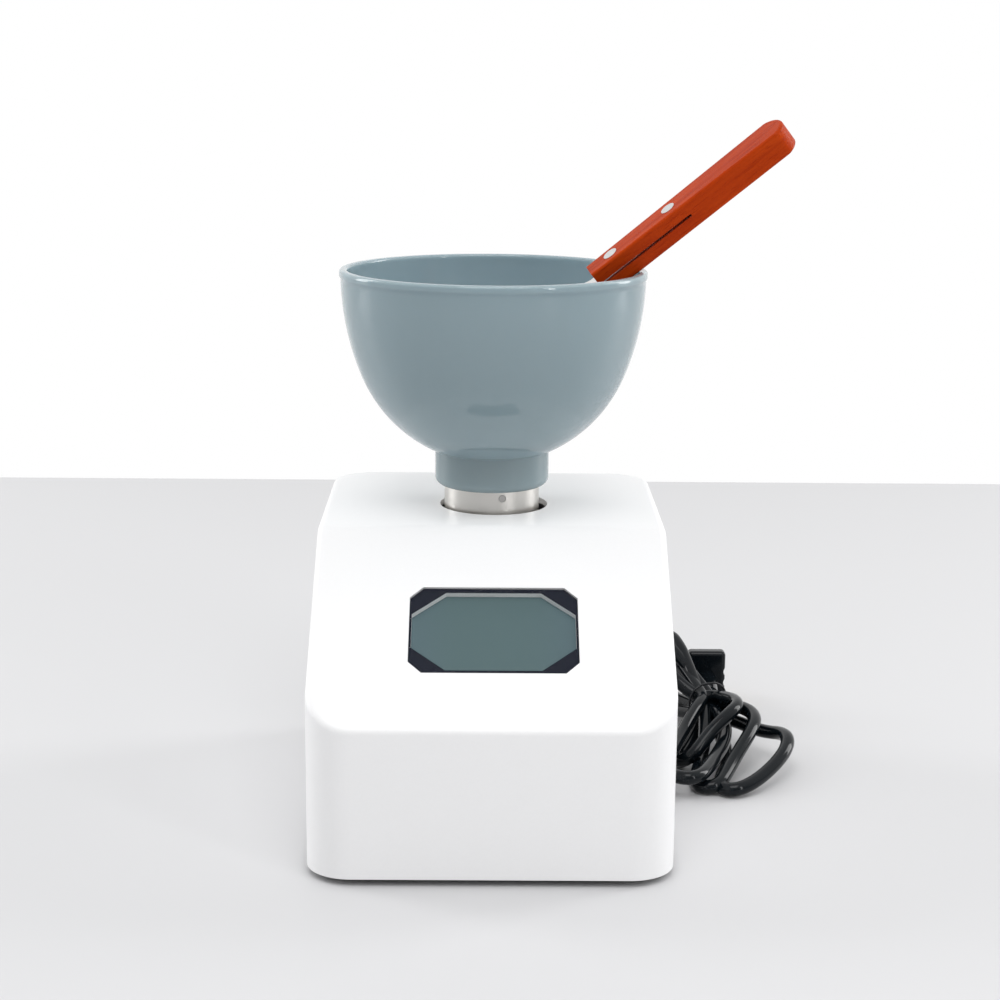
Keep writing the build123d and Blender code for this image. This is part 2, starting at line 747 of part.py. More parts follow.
save(group(rod(standoff_radius, base_top, board_bottom, x, y)
           - rod(board_screw_radius + thread_gap, base_top, board_bottom, x, y)
           for x, y in standoff_places), "board_standoffs")
save(make_side_board(-side_board_x), "power_board")
save(make_side_board(side_board_x), "control_board")

board_screw = pan_screw(board_screw_radius, board_screw_head, board_screw_length)
display_screw = Rot(180, 0, 0) * pan_screw(board_screw_radius, board_screw_head,
                                           board_thickness + 3.0)
board_screws = [Pos(x, y, board_top) * board_screw for x, y in standoff_places]
board_screws += [display * Pos(x, y, display_board_back) * display_screw
                 for x, y in display_boss_places]
save(group(board_screws), "board_screws")

board_back = side_board_y + side_board_size[1] / 2
board_front = side_board_y - side_board_size[1] / 2
board_inner = side_board_x - side_board_size[0] / 2
screw_reach = board_hole_inset + board_screw_head[0] + part_gap
terminal_size = (side_board_size[0] - 2 * screw_reach, terminal_depth, terminal_height)
terminal_back = board_back - terminal_inset
core_size = (side_board_size[0] - 4, transformer_core[0], transformer_core[1])
coil_rise = (core_size[2] - transformer_coil[2]) / 2
core_y = terminal_back - terminal_depth - part_gap - transformer_coil[1] / 2
core = Pos(-side_board_x, core_y, board_top) * (
    Box(*core_size, align=BASE)
    - Pos(0, 0, coil_rise) * Box(transformer_coil[0] + 0.2, core_size[1],
                                 transformer_coil[2] + 0.2, align=BASE))
coil = Pos(-side_board_x, core_y, board_top + coil_rise) * fillet(
    Box(*transformer_coil, align=BASE).edges().filter_by(Axis.Z), 2)
save(group([core, coil]), "transformer")

fuse_x = side_board_size[0] / 2 - fuse_inset - side_board_x
fuse_y = board_front + screw_reach + fuse_size[1] / 2
board_edge = side_board_size[0] / 2 - capacitor_inset
cans = [(radius - board_edge, radius, height, board_front + front)
        for radius, height, front in large_capacitors]
cans.append((board_edge - small_capacitor[0], *small_capacitor,
             fuse_y + fuse_size[1] / 2 + part_gap + small_capacitor[0]))
save(group(fillet(rod(radius, board_top, board_top + height, x - side_board_x,
                      y).edges().group_by(Axis.Z)[-1], 1)
           for x, radius, height, y in cans), "capacitors")

fuse_height = board_top + fuse_rise
fuse_parts = [Pos(fuse_x, fuse_y, fuse_height) * Rot(90, 0, 0) * Cylinder(*fuse_size)]
for end in (-1, 1):
    y = fuse_y + end * (fuse_size[1] / 2 - 2.5)
    clip = block(fuse_x - fuse_clip[0] / 2, fuse_x + fuse_clip[0] / 2,
                 y - fuse_clip[1] / 2, y + fuse_clip[1] / 2, board_top, fuse_height + 1)
    fuse_parts.append(clip - Pos(fuse_x, y, fuse_height) * Rot(90, 0, 0) * Cylinder(
        fuse_size[0] + thread_gap, fuse_clip[1] + 2))
save(group(fuse_parts), "fuse")

chips = [Pos(side_board_x, side_board_y - main_chip_front, board_top) * Box(*main_chip, align=BASE)]
chips += [Pos(side_board_x + side * side_chip_place[0], side_board_y + side_chip_place[1], board_top)
          * Box(*side_chip, align=BASE) for side in (-1, 1)]
save(group(chips), "control_chips")

sink = Box(*sink_size, align=BASE)
fin_pitch = sink_size[0] / fin_count
for i in range(fin_count):
    sink -= Pos((i + 0.5 - fin_count / 2) * fin_pitch, 0, sink_floor) * Box(
        fin_pitch - fin_thickness, sink_size[1], sink_size[2], align=BASE)
sink_y = (side_board_y + side_chip_place[1] + side_chip[1] / 2 + sink_to_chip
          + sink_size[1] / 2)
save(Pos(side_board_x, sink_y, board_top) * sink, "heat_sink")

ribbon_x = board_inner + connector_size[0] / 2
ribbon_y = board_front + screw_reach + connector_size[1] / 2
motor_plug_x = board_inner + motor_plug_inset + motor_plug[0] / 2
motor_plug_y = -motor_offset + 6
display_plug = display * Pos(ribbon_x - display_shift, -display_board_size[1] / 2 + 10,
                             display_board_back - 4) * Box(12, 5, 4, align=BASE)
board_connectors = [
    Pos(ribbon_x, ribbon_y, board_top) * Box(*connector_size, align=BASE),
    Pos(motor_plug_x, motor_plug_y, board_top) * Box(*motor_plug, align=BASE),
    Pos(-side_board_x, terminal_back - terminal_depth / 2, board_top)
    * Box(*terminal_size, align=BASE),
    display_plug]
save(group(board_connectors), "board_connectors")

# ---------------------------------------------------------------- inlet and switch
back = spindle_to_back
inlet_face = back + inlet_flange[2]
nose_size = (inlet_cutout[0] - 2 * inlet_wall, inlet_cutout[1] - 2 * inlet_wall)
pin_places = ((-pin_pitch, -earth_rise / 2), (0, earth_rise / 2), (pin_pitch, -earth_rise / 2))


def panel(x, y):
    """Plane on the rear wall: local x along +X, local y up, its normal towards -Y."""
    return Plane(origin=(x, y, panel_height), x_dir=(1, 0, 0), z_dir=(0, -1, 0))


def make_inlet():
    """Snap-in appliance inlet: flange outside the wall, body inside and a recess for the lead."""
    face = panel(inlet_x, inlet_face)
    shell = face * extrude(RectangleRounded(inlet_flange[0], inlet_flange[1], 2),
                           amount=inlet_flange[2])
    shell += face * extrude(RectangleRounded(inlet_cutout[0] - 0.2, inlet_cutout[1] - 0.2, 1),
                            amount=inlet_flange[2] + inlet_depth)
    shell -= face * extrude(RectangleRounded(nose_size[0], nose_size[1], 2), amount=recess_depth)
    for x, y in pin_places:
        shell -= face * Pos(x, y) * extrude(
            Rectangle(inlet_pin[1], inlet_pin[0]), amount=inlet_flange[2] + inlet_depth)
    return shell


def make_inlet_pin(x, y):
    """Flat contact pin with its solder tab behind the body."""
    start = recess_depth - inlet_pin_reach
    length = inlet_flange[2] + inlet_depth + inlet_tab - start
    return panel(inlet_x, inlet_face) * Pos(x, y, start) * extrude(
        Rectangle(inlet_pin[1] - 0.04, inlet_pin[0] - 0.04), amount=length)


save(make_inlet(), "mains_inlet")
save(group(make_inlet_pin(x, y) for x, y in pin_places), "inlet_pins")

switch_face = back + switch_flange[2]
pivot_y = back + 0.5


def make_bezel():
    """Rocker switch body with its frame outside the rear wall."""
    face = panel(switch_x, switch_face)
    shell = face * extrude(RectangleRounded(switch_flange[0], switch_flange[1], 1.5),
                           amount=switch_flange[2])
    shell += face * extrude(Rectangle(switch_cutout[0] - 0.2, switch_cutout[1] - 0.2),
                            amount=switch_flange[2] + switch_depth)
    shell -= face * extrude(
        Rectangle(paddle_width + 2 * paddle_gap, 2 * (paddle_half_length + 2 * paddle_gap)),
        amount=switch_flange[2] + switch_depth - 2)
    shell -= Pos(switch_x, pivot_y, panel_height) * Rot(0, 90, 0) * Cylinder(
        pivot_radius + thread_gap, switch_cutout[0] - 1)
    return shell


def make_paddle():
    """Rocker with a shallow V face, tilted to its off position."""
    half = paddle_half_length
    side = make_face(Polyline((3.2, -half), (1.8, 0), (3.2, half), (-1.5, half), (-5.5, 3),
                              (-5.5, -3), (-1.5, -half), close=True))
    rocker = extrude(Plane.YZ * side, amount=paddle_width / 2, both=True)
    rocker += Rot(0, 90, 0) * Cylinder(pivot_radius, switch_cutout[0] - 1.4)
    return Pos(switch_x, pivot_y, panel_height) * Rot(paddle_tilt, 0, 0) * rocker


save(make_bezel(), "switch_bezel")
save(make_paddle(), "switch_paddle")

# ---------------------------------------------------------------- inside leads
lead_radius = 1.2


def wire(points, radius, bend):
    """Round lead along straight runs joined by arcs."""
    path = FilletPolyline(*points, radius=bend)
    return sweep(Plane(path @ 0, z_dir=path % 0) * Circle(radius), path=path)


tab_end = back - inlet_depth - inlet_tab
mains_floor = 20.0
terminal_y = terminal_back + 0.4
lead_pitch = terminal_size[0] / lead_count
wires = []
for i, (x, y) in enumerate(pin_places):
    start = (inlet_x + x, tab_end, panel_height + y)
    row = board_top + 3 + 2.8 * i
    level = mains_floor + 3 * (2 - i)
    wires.append(wire([start, (start[0], tab_end - 3.5, start[2]),
                       (start[0], tab_end - 1.5, level),
                       (lead_pitch * (i - 2) - side_board_x, tab_end - 1, level),
                       (lead_pitch * (i - 2) - side_board_x, terminal_y, row)],
                      lead_radius, 1.6))
for i in (0, 1):
    x = switch_x + 3 - 6 * i
    wires.append(wire([(x, back - switch_depth, panel_height),
                       (x, back - switch_depth - 9, panel_height),
                       (lead_pitch * (2 - i) - side_board_x, terminal_y + 10, 30),
                       (lead_pitch * (2 - i) - side_board_x, terminal_y + 0.5, board_top + 8.5)],
                      lead_radius, 3))

for i in (0, 1):
    y = motor_plug_y - 3 + 6 * i
    reach = sqrt(motor_radius ** 2 - (y + motor_offset) ** 2)
    wires.append(wire([(reach + 0.7, y, motor_lead_height), (motor_plug_x, y, motor_lead_height),
                       (motor_plug_x, y, board_top + motor_plug[2] + 0.2)], lead_radius, 2))
save(group(wires), "inside_leads")

ribbon_start = display_plug.faces().sort_by(Axis.Y)[0].center()
ribbon_path = FilletPolyline(
    (ribbon_start.Y - 0.4, ribbon_start.Z - 0.3),
    (-chassis_front - ribbon_to_chassis, ribbon_start.Z - ribbon_drop),
    (-chassis_front - ribbon_to_chassis, board_top + ribbon_fold[0]),
    (ribbon_y - ribbon_run, board_top + ribbon_fold[1]),
    (ribbon_y, board_top + connector_size[2] + 0.3), radius=ribbon_bend)
ribbon_line = Plane.YZ * ribbon_path
ribbon = sweep(Plane(origin=ribbon_line @ 0, x_dir=(1, 0, 0), z_dir=ribbon_line % 0)
               * Rectangle(*ribbon_size), path=ribbon_line)
save(Pos(ribbon_start.X, 0, 0) * ribbon, "display_ribbon")

# ---------------------------------------------------------------- bowl
def on_arc(centre, radius, angle):
    """Point of a profile arc, angle measured down from the horizontal."""
    return (centre[0] + radius * cos(angle), centre[1] - radius * sin(angle))


def wall_arc(centre, radius, start, end):
    """Profile arc between two angles below the horizontal."""
    return ThreePointArc(on_arc(centre, radius, start), on_arc(centre, radius, (start + end) / 2),
                         on_arc(centre, radius, end))


def rings_at(shape, radius, height):
    """Circular edges of a turned shape at one radius and height."""
    found = []
    for edge in shape.edges().filter_by(GeomType.CIRCLE):
        if abs(edge.radius - radius) < 0.02 and abs(edge.arc_center.Z - height) < 0.02:
            found.append(edge)
    return found


def make_bowl():
    """Turned bowl: two tangent wall arcs over a neck whose socket drops on the collar."""
    socket = collar_radius + bowl_fit
    inner_upper = upper_arc_radius - bowl_wall
    bead_low = rim_top - rim_bead_height
    bead_angle = -asin((bead_low - upper_centre[1]) / upper_arc_radius)
    lip_angle = -asin((rim_top - upper_centre[1]) / inner_upper)
    neck_angle = pi / 2 - asin((neck_radius - lower_centre[0]) / lower_arc_radius)
    floor_angle = pi / 2 - asin((floor_flat_radius - lower_centre[0]) / inner_arc_radius)
    neck_top = on_arc(lower_centre, lower_arc_radius, neck_angle)
    bead = on_arc(upper_centre, upper_arc_radius, bead_angle)
    lip = on_arc(upper_centre, inner_upper, lip_angle)
    floor = on_arc(lower_centre, inner_arc_radius, floor_angle)
    edges = [Line((socket, neck_bottom), (neck_radius, neck_bottom)),
             Line((neck_radius, neck_bottom), neck_top),
             wall_arc(lower_centre, lower_arc_radius, neck_angle, meet),
             wall_arc(upper_centre, upper_arc_radius, meet, bead_angle),
             Line(bead, (rim_radius, bead_low + 0.8)),
             Line((rim_radius, bead_low + 0.8), (rim_radius, rim_top)),
             Line((rim_radius, rim_top), lip),
             wall_arc(upper_centre, inner_upper, lip_angle, meet),
             wall_arc(lower_centre, inner_arc_radius, meet, floor_angle),
             Line(floor, (0, floor_height)),
             Line((0, floor_height), (0, collar_top)),
             Line((0, collar_top), (socket, collar_top)),
             Line((socket, collar_top), (socket, neck_bottom))]
    bowl = revolve(Plane.XZ * make_face(Wire(edges)), axis=Axis.Z)
    bowl = fillet(rings_at(bowl, neck_radius, neck_bottom), neck_round)
    bowl = fillet(rings_at(bowl, neck_radius, neck_top[1]), neck_crease_round)
    bowl = fillet(rings_at(bowl, rim_radius, rim_top), rim_round)
    return fillet(rings_at(bowl, lip[0], rim_top), rim_round)


save(make_bowl(), "mixing_bowl")

# ---------------------------------------------------------------- spatula
rise = radians(spatula_elevation)
roll = radians(spatula_roll)
handle_end = (handle_end_x, 0, rim_top + handle_end_above_rim)
spatula = Plane(origin=handle_end, x_dir=(cos(rise), 0, sin(rise)),
                z_dir=(-sin(rise) * cos(roll), -sin(roll), cos(rise) * cos(roll)))


def make_handle():
    """Flat wooden handle with a domed butt, sawn for the tang and drilled for the rivets."""
    a, b = [width / 2 for width in handle_width]
    c, d = [thickness / 2 for thickness in handle_thickness]
    long = handle_length - handle_dome
    outline = make_face(
        Line((0, -a), (0, a)) + Line((0, a), (long, b))
        + ThreePointArc((long, b), (handle_length, 0), (long, -b)) + Line((long, -b), (0, -a)))
    outline = fillet([v for v in outline.vertices() if v.X > 1], handle_corner_radius)
    side = make_face(Polyline((0, -c), (0, c), (handle_length + 1, d), (handle_length + 1, -d),
                              close=True))
    handle = extrude(outline, amount=2 * c, both=True)
    handle &= extrude(Plane.XZ * side, amount=2 * b, both=True)
    rims = [edge for edge in handle.edges()
            if edge.bounding_box().max.X > 1 and edge.bounding_box().size.Z < c]
    handle = fillet(rims, handle_edge_radius)
    handle -= Pos(kerf_length / 2, 0, 0) * Box(kerf_length, 4 * b, kerf_width)
    for x in rivet_places:
        handle -= Pos(x, 0, 0) * Cylinder(rivet_radius + rivet_gap, 4 * c)
    return spatula * handle


def handle_depth(x):
    """Thickness of the handle at a distance from its blade end."""
    return handle_thickness[0] + (handle_thickness[1] - handle_thickness[0]) * x / handle_length


def blade_reach():
    """Length from the handle's end to the bowl's inner wall, along the spatula."""
    dx = handle_end[0] + lower_centre[0]
    dz = handle_end[2] - lower_centre[1]
    half = dx * cos(rise) + dz * sin(rise)
    radius = inner_arc_radius - tip_gap
    return half + sqrt(half ** 2 - dx ** 2 - dz ** 2 + radius ** 2)


def make_blade():
    """Springy flat blade with a rounded tip and a tang that lies in the handle's kerf."""
    reach = blade_reach()
    w = blade_width / 2
    t = tang_width / 2
    bend = reach - w
    outline = make_face(
        Line((tang_length, -t), (tang_length, t)) + Line((tang_length, t), (-2, t))
        + Line((-2, t), (-blade_shoulder, w)) + Line((-blade_shoulder, w), (-bend, w))
        + ThreePointArc((-bend, w), (-reach, 0), (-bend, -w)) + Line((-bend, -w), (-blade_shoulder, -w))
        + Line((-blade_shoulder, -w), (-2, -t)) + Line((-2, -t), (tang_length, -t)))
    for x in rivet_places:
        outline -= Pos(x, 0) * Circle(rivet_radius + 2 * rivet_gap)
    return spatula * Pos(0, 0, -blade_thickness / 2) * extrude(outline, amount=blade_thickness)


save(make_handle(), "spatula_handle")
save(make_blade(), "spatula_blade")
save(group(spatula * Pos(x, 0, 0) * Cylinder(rivet_radius, handle_depth(x) + 0.3)
           for x in rivet_places), "spatula_rivets")

# ---------------------------------------------------------------- mains lead
cord_radius = cord_diameter / 2


def make_connector():
    """Angled appliance connector: nose in the inlet, grip block outside, boot towards +X."""
    width, depth, height = connector_block
    near = inlet_face + 0.5
    face = panel(inlet_x, near + depth)
    body = face * extrude(RectangleRounded(width, height, 3), amount=depth)
    body = fillet(body.faces().sort_by(Axis.Y)[-1].edges(), 2)
    nose = RectangleRounded(nose_size[0] - 2 * connector_gap, nose_size[1] - 2 * connector_gap, 1.8)
    for x, y in pin_places:
        nose -= Pos(x, y) * Rectangle(inlet_pin[1] + 0.4, inlet_pin[0] + 0.4)
    body += panel(inlet_x, near) * extrude(nose, amount=recess_depth - connector_gap)
    boot = Plane(origin=(inlet_x + width / 2 - 2, near + depth / 2, panel_height), z_dir=(1, 0, 0))
    return body + boot * Cone(boot_radius[0], boot_radius[1], boot_length + 2, align=BASE)


lead_start = (inlet_x + connector_block[0] / 2 + boot_length,
              inlet_face + 0.5 + connector_block[1] / 2, panel_height)
plug_face_y = plug_near_y + plug_body[1]
relief_face = Plane(origin=(plug_x, plug_near_y - plug_relief_length, plug_axis_height),
                    x_dir=(1, 0, 0), z_dir=(0, 1, 0))

# Route of the lead, in the order it runs: out of the connector, through the tied waist, round
# each loop that lies beside the housing, back behind the housing, and at last to the plug.
lead_route = [lead_start, (71.5, 80, 40), (77.5, 73.5, 36), (82.5, 64, 31), (87, 55, 26.5),
              (97, 48.2, 19.5)]
front_loops = [
    [(105.9, 48.4, 20), (110, 37.5, 22.6), (112.6, 29.5, 24.2), (112.8, 21, 24.5),
     (108.3, 13.5, 23.2), (101.5, 8, 18.9), (96.8, 4, 14.6), (93.3, 0.8, 11), (90.2, -0.8, 8),
     (86.8, 0.2, 5.6), (85, 3.5, 4.1), (85.6, 8.5, 3.5), (88.5, 17, 3.8), (92.5, 27, 5.5),
     (96.5, 36.5, 8.5), (100.1, 45.6, 12)],
    [(105.9, 48.4, 16), (112, 39.5, 18.6), (117, 31, 20), (120.1, 22.5, 20.3), (120, 13.5, 19.6),
     (116.6, 4.5, 17.2), (111.2, -5, 13.1), (106.2, -14, 8.9), (102.6, -21.2, 6.2),
     (99.7, -26.5, 4.6), (95.4, -28.3, 3.6), (91.6, -26.3, 3.4), (90.2, -22, 3.4),
     (91.5, -11, 3.4), (94.6, 3, 3.9), (97.6, 17, 7.6), (99.6, 31, 12.8), (100.1, 45.6, 17)],
    [(105.2, 48.6, 11.6), (111.2, 40, 11.6), (116.6, 32.2, 12.1), (122.2, 25, 11.8),
     (127.4, 18.8, 12.6), (131.8, 12, 14.6), (133.6, 3.5, 15.3), (131.7, -5, 13.1),
     (126.6, -13.2, 10), (119.7, -21.3, 6.9), (113.4, -27.3, 5), (108, -30.7, 4),
     (103.6, -31, 3.5), (100.6, -27.8, 3.4), (100.4, -22.5, 3.4), (102.4, -13, 3.4),
     (106, 1, 3.4), (108.2, 15, 4.4), (106.6, 31, 7), (101.8, 49.5, 12.6)],
    [(100.1, 45.6, 20), (96.8, 37.5, 19.4), (92.4, 28, 16.4), (87.5, 17, 12.6), (82.6, 3, 10.4),
     (79.3, -10, 9.8), (77.4, -20, 9.7), (78.2, -27.5, 9.7), (81.8, -32.6, 9.7), (87, -33.4, 9.7),
     (91.4, -29.6, 9.8), (95.6, -20, 10), (100.4, -7.5, 10.5), (105, 5, 11.8), (107.6, 19, 13.6),
     (106.8, 33, 14.8), (103, 47, 15)]]


def bends(points):
    """Radius for each corner: 0.45 of its shorter run over the tangent of half its turn."""
    radii = []
    for before, corner, after in zip(points, points[1:], points[2:]):
        first = Vector(*corner) - Vector(*before)
        second = Vector(*after) - Vector(*corner)
        turn = radians(first.get_angle(second))
        radii.append(0.45 * min(first.length, second.length) / tan(turn / 2))
    return radii


def cord_tube(points, name):
    """Round cord along straight runs joined by tangent arcs."""
    radii = bends(points)
    path = FilletPolyline(*points, radius=radii)
    tube = sweep(Plane(path @ 0, z_dir=path % 0) * Circle(cord_radius), path=path)
    print(name, "length", round(path.length, 1), "radii", [round(r, 1) for r in radii],
          "volume ratio", round(tube.volume / (path.length * pi * cord_radius ** 2), 4))
    return tube


waist = (103.0, 47.0, 15.4)
far_end = (87.0, 79.3, hank_end_radius + 0.4)


def make_hank():
    """Outer shape of the tied hank: its long loops side by side and the loops in front."""
    run = Vector(far_end[0] - waist[0], far_end[1] - waist[1], 0)
    face = Plane(origin=(waist[0], waist[1], 0), x_dir=run, z_dir=run.cross(Vector(0, 0, 1)))
    ends = (Pos(0, waist[2]) * Circle(hank_waist_radius)
            + Pos(run.length, far_end[2]) * Circle(hank_end_radius))
    bundle = face * extrude(make_hull(ends.edges()), amount=hank_thickness / 2, both=True)
    bundle = fillet(bundle.edges(), 3)
    for i, loop in enumerate(front_loops):
        bundle += cord_tube(loop, "loop " + str(i))
    return bundle


def make_tie():
    """Wire tie round the waist of the hank."""
    run = Vector(far_end[0] - waist[0], far_end[1] - waist[1], 0).normalized()
    face = Plane(origin=Vector(*waist) + run * tie_back + Vector(0, 0, tie_rise),
                 x_dir=run.cross(Vector(0, 0, 1)), z_dir=run)
    ring_face = face * RectangleRounded(*tie_size)
    path = ring_face.face().outer_wire()
    return sweep(Plane(path @ 0, z_dir=path % 0) * Circle(tie_radius), path=path)


def make_plug_body():
    """Moulded plug, thinner at its top, with ribbed sides and a tapered relief towards -Y."""
    width, depth, height = plug_body
    low = plug_axis_height - height / 2
    side = make_face(Polyline(
        (plug_near_y, low), (plug_face_y, low), (plug_face_y, low + plug_shoulder),
        (plug_near_y + plug_top_thickness, low + height), (plug_near_y, low + height), close=True))
    body = Pos(plug_x, 0, 0) * extrude(Plane.YZ * side, amount=width / 2, both=True)
    body = fillet(body.edges(), 2)
    for side in (-1, 1):
        for i in range(3):
            body -= Pos(plug_x + side * (width / 2 + 1.7), plug_face_y - 4,
                        plug_axis_height + (0.8 - i) * plug_rib_pitch) * Rot(90, 0, 0) * Cylinder(
                2.6, depth, align=BASE)
    relief = relief_face * Cone(plug_relief_radius[1], plug_relief_radius[0],
                                plug_relief_length + 1, align=BASE)
    return body + relief


def make_plug_pins():
    """Two flat blades and a round earth pin."""
    face = Plane(origin=(plug_x, plug_face_y, plug_axis_height + plug_blade_rise),
                 x_dir=(-1, 0, 0), z_dir=(0, 1, 0))
    blade = Box(*plug_blade, align=BASE)
    blades = [face * Pos(side * plug_blade_pitch / 2, 0, 0) * blade for side in (-1, 1)]
    earth = face * Pos(0, -earth_drop, 0) * Cylinder(*earth_pin, align=BASE)
    return blades + [earth]


tail_length = relief_face.origin.Y - tail_start_y
tail = relief_face * Pos(0, 0, -tail_length) * Cylinder(cord_radius, tail_length, align=BASE)
hank = make_hank()
save(make_connector(), "lead_connector")
save(cord_tube(lead_route, "lead") - hank, "cord_lead")
save(hank, "cord_hank")
save(make_tie(), "cord_tie")
save(tail - hank, "cord_tail")
save(make_plug_body(), "plug_body")
save(group(make_plug_pins()), "plug_pins")
print("blade reach", round(blade_reach(), 2), "collar top", round(collar_top, 3),
      "floor", round(floor_height, 3))
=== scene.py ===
import json
import math

import bpy
import numpy as np
from bpy.props import FloatProperty, FloatVectorProperty, IntProperty, PointerProperty
from mathutils import Matrix, Vector


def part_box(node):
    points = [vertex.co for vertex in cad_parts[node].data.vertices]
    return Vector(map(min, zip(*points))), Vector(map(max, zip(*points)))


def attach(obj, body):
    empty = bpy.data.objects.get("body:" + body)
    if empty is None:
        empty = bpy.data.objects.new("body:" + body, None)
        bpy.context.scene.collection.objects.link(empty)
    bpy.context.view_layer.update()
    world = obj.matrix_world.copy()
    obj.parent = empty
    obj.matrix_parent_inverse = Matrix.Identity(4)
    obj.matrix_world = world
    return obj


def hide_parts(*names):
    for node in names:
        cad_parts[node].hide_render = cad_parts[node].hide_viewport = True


bl_info = {
    "name": "Impression mixer",
    "version": (1, 0, 0),
    "blender": (4, 5, 0),
    "location": "View3D > Sidebar > Mixer",
    "description": "Dresses the CAD frame of a bench mixer with a bowl, a spatula and a tied mains lead",
    "category": "Object",
}

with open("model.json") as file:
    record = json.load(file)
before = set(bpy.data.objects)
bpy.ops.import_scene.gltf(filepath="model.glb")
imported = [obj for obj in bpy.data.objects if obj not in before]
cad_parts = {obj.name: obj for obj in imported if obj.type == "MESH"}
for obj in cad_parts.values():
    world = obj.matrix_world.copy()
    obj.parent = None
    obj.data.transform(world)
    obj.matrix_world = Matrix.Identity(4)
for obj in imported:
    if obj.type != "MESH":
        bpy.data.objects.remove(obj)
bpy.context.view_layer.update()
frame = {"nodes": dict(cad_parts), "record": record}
NODES = frame["nodes"]

# Everything is in metres in the CAD frame: +Z up, the table is z = 0, the spindle turns on the
# Z axis and the sloped front with the display faces -Y.

# Spindle and collar
SPINDLE_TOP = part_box("mixing_bowl")[1].z
COLLAR_LOW, COLLAR_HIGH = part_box("drive_collar")
COLLAR_RADIUS = COLLAR_HIGH.x

# Bowl wall: two tangent arcs, as (radius from the spindle, height, arc radius)
BOWL_LOW, BOWL_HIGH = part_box("mixing_bowl")
UPPER_ARC = (-0.0489, 0.2225, 0.1135)
LOWER_ARC = (-0.00064, 0.20276, 0.06135)
ARC_MEET = math.radians(22.26)
BOWL_WALL = 0.003
NECK_RADIUS = 0.0245
NECK_ROUND = 0.0035
CREASE_ROUND = 0.0005
SOCKET_RADIUS = COLLAR_RADIUS + 0.0001
SOCKET_TOP = COLLAR_HIGH.z
FLOOR_FLAT = 0.009

# Slope with the display: origin at its lower edge, right, up the slope, and outwards
SLOPE_ANGLE = math.atan2(0.060, 0.0843)
SLOPE_UP = Vector((0, math.cos(SLOPE_ANGLE), math.sin(SLOPE_ANGLE)))
SLOPE_OUT = Vector((0, -math.sin(SLOPE_ANGLE), math.cos(SLOPE_ANGLE)))
DISPLAY_CENTRE = Vector((0.0008, -0.128, 0.063)) + SLOPE_UP * 0.0493
LENS_HALF = (0.03345, 0.02135)
LENS_CUT = 0.0053
LENS_DEPTH = 0.0008
LENS_EDGE = 0.0002

# Mains lead: the route in the order it runs
LEAD_EXIT = (0.064, 0.080, 0.040)
LEAD_START = [LEAD_EXIT, (0.0715, 0.080, 0.040), (0.0775, 0.0735, 0.036), (0.0825, 0.064, 0.031),
              (0.087, 0.055, 0.0265), (0.097, 0.0482, 0.0195)]
FRONT_LOOPS = [
    [(0.1059, 0.0484, 0.02), (0.11, 0.0375, 0.0226), (0.1126, 0.0295, 0.0242),
     (0.1128, 0.021, 0.0245), (0.1083, 0.0135, 0.0232), (0.1015, 0.008, 0.0189),
     (0.0968, 0.004, 0.0146), (0.0933, 0.0008, 0.011), (0.0902, -0.0008, 0.008),
     (0.0868, 0.0002, 0.0056), (0.085, 0.0035, 0.0041), (0.0856, 0.0085, 0.0035),
     (0.0885, 0.017, 0.0038), (0.0925, 0.027, 0.0055), (0.0965, 0.0365, 0.0085),
     (0.1001, 0.0456, 0.012)],
    [(0.1059, 0.0484, 0.016), (0.112, 0.0395, 0.0186), (0.117, 0.031, 0.02),
     (0.1201, 0.0225, 0.0203), (0.12, 0.0135, 0.0196), (0.1166, 0.0045, 0.0172),
     (0.1112, -0.005, 0.0131), (0.1062, -0.014, 0.0089), (0.1026, -0.0212, 0.0062),
     (0.0997, -0.0265, 0.0046), (0.0954, -0.0283, 0.0036), (0.0916, -0.0263, 0.0034),
     (0.0902, -0.022, 0.0034), (0.0915, -0.011, 0.0034), (0.0946, 0.003, 0.0039),
     (0.0976, 0.017, 0.0076), (0.0996, 0.031, 0.0128), (0.1001, 0.0456, 0.017)],
    [(0.1052, 0.0486, 0.0116), (0.1112, 0.04, 0.0116), (0.1166, 0.0322, 0.0121),
     (0.1222, 0.025, 0.0118), (0.1274, 0.0188, 0.0126), (0.1318, 0.012, 0.0146),
     (0.1336, 0.0035, 0.0153), (0.1317, -0.005, 0.0131), (0.1266, -0.0132, 0.01),
     (0.1197, -0.0213, 0.0069), (0.1134, -0.0273, 0.005), (0.108, -0.0307, 0.004),
     (0.1036, -0.031, 0.0035), (0.1006, -0.0278, 0.0034), (0.1004, -0.0225, 0.0034),
     (0.1024, -0.013, 0.0034), (0.106, 0.001, 0.0034), (0.1082, 0.015, 0.0044),
     (0.1066, 0.031, 0.007), (0.1018, 0.0495, 0.0126)],
    [(0.1001, 0.0456, 0.02), (0.0968, 0.0375, 0.0194), (0.0924, 0.028, 0.0164),
     (0.0875, 0.017, 0.0126), (0.0826, 0.003, 0.0104), (0.0793, -0.01, 0.0098),
     (0.0774, -0.02, 0.0097), (0.0782, -0.0275, 0.0097), (0.0818, -0.0326, 0.0097),
     (0.087, -0.0334, 0.0097), (0.0914, -0.0296, 0.0098), (0.0956, -0.02, 0.01),
     (0.1004, -0.0075, 0.0105), (0.105, 0.005, 0.0118), (0.1076, 0.019, 0.0136),
     (0.1068, 0.033, 0.0148), (0.103, 0.047, 0.015)]]
LEAD_END = [(0.1055, 0.054, 0.0159), (0.1055, 0.064, 0.0159)]
WAIST = Vector((0.103, 0.047, 0.0))
FAR_END = Vector((0.087, 0.0793, 0.0))
BACK_HEIGHT = 0.0214
# Shares of the way from the waist to the far end at which a turn's straight sides have points
BACK_STEPS = (0.3, 0.5, 0.68, 0.84)
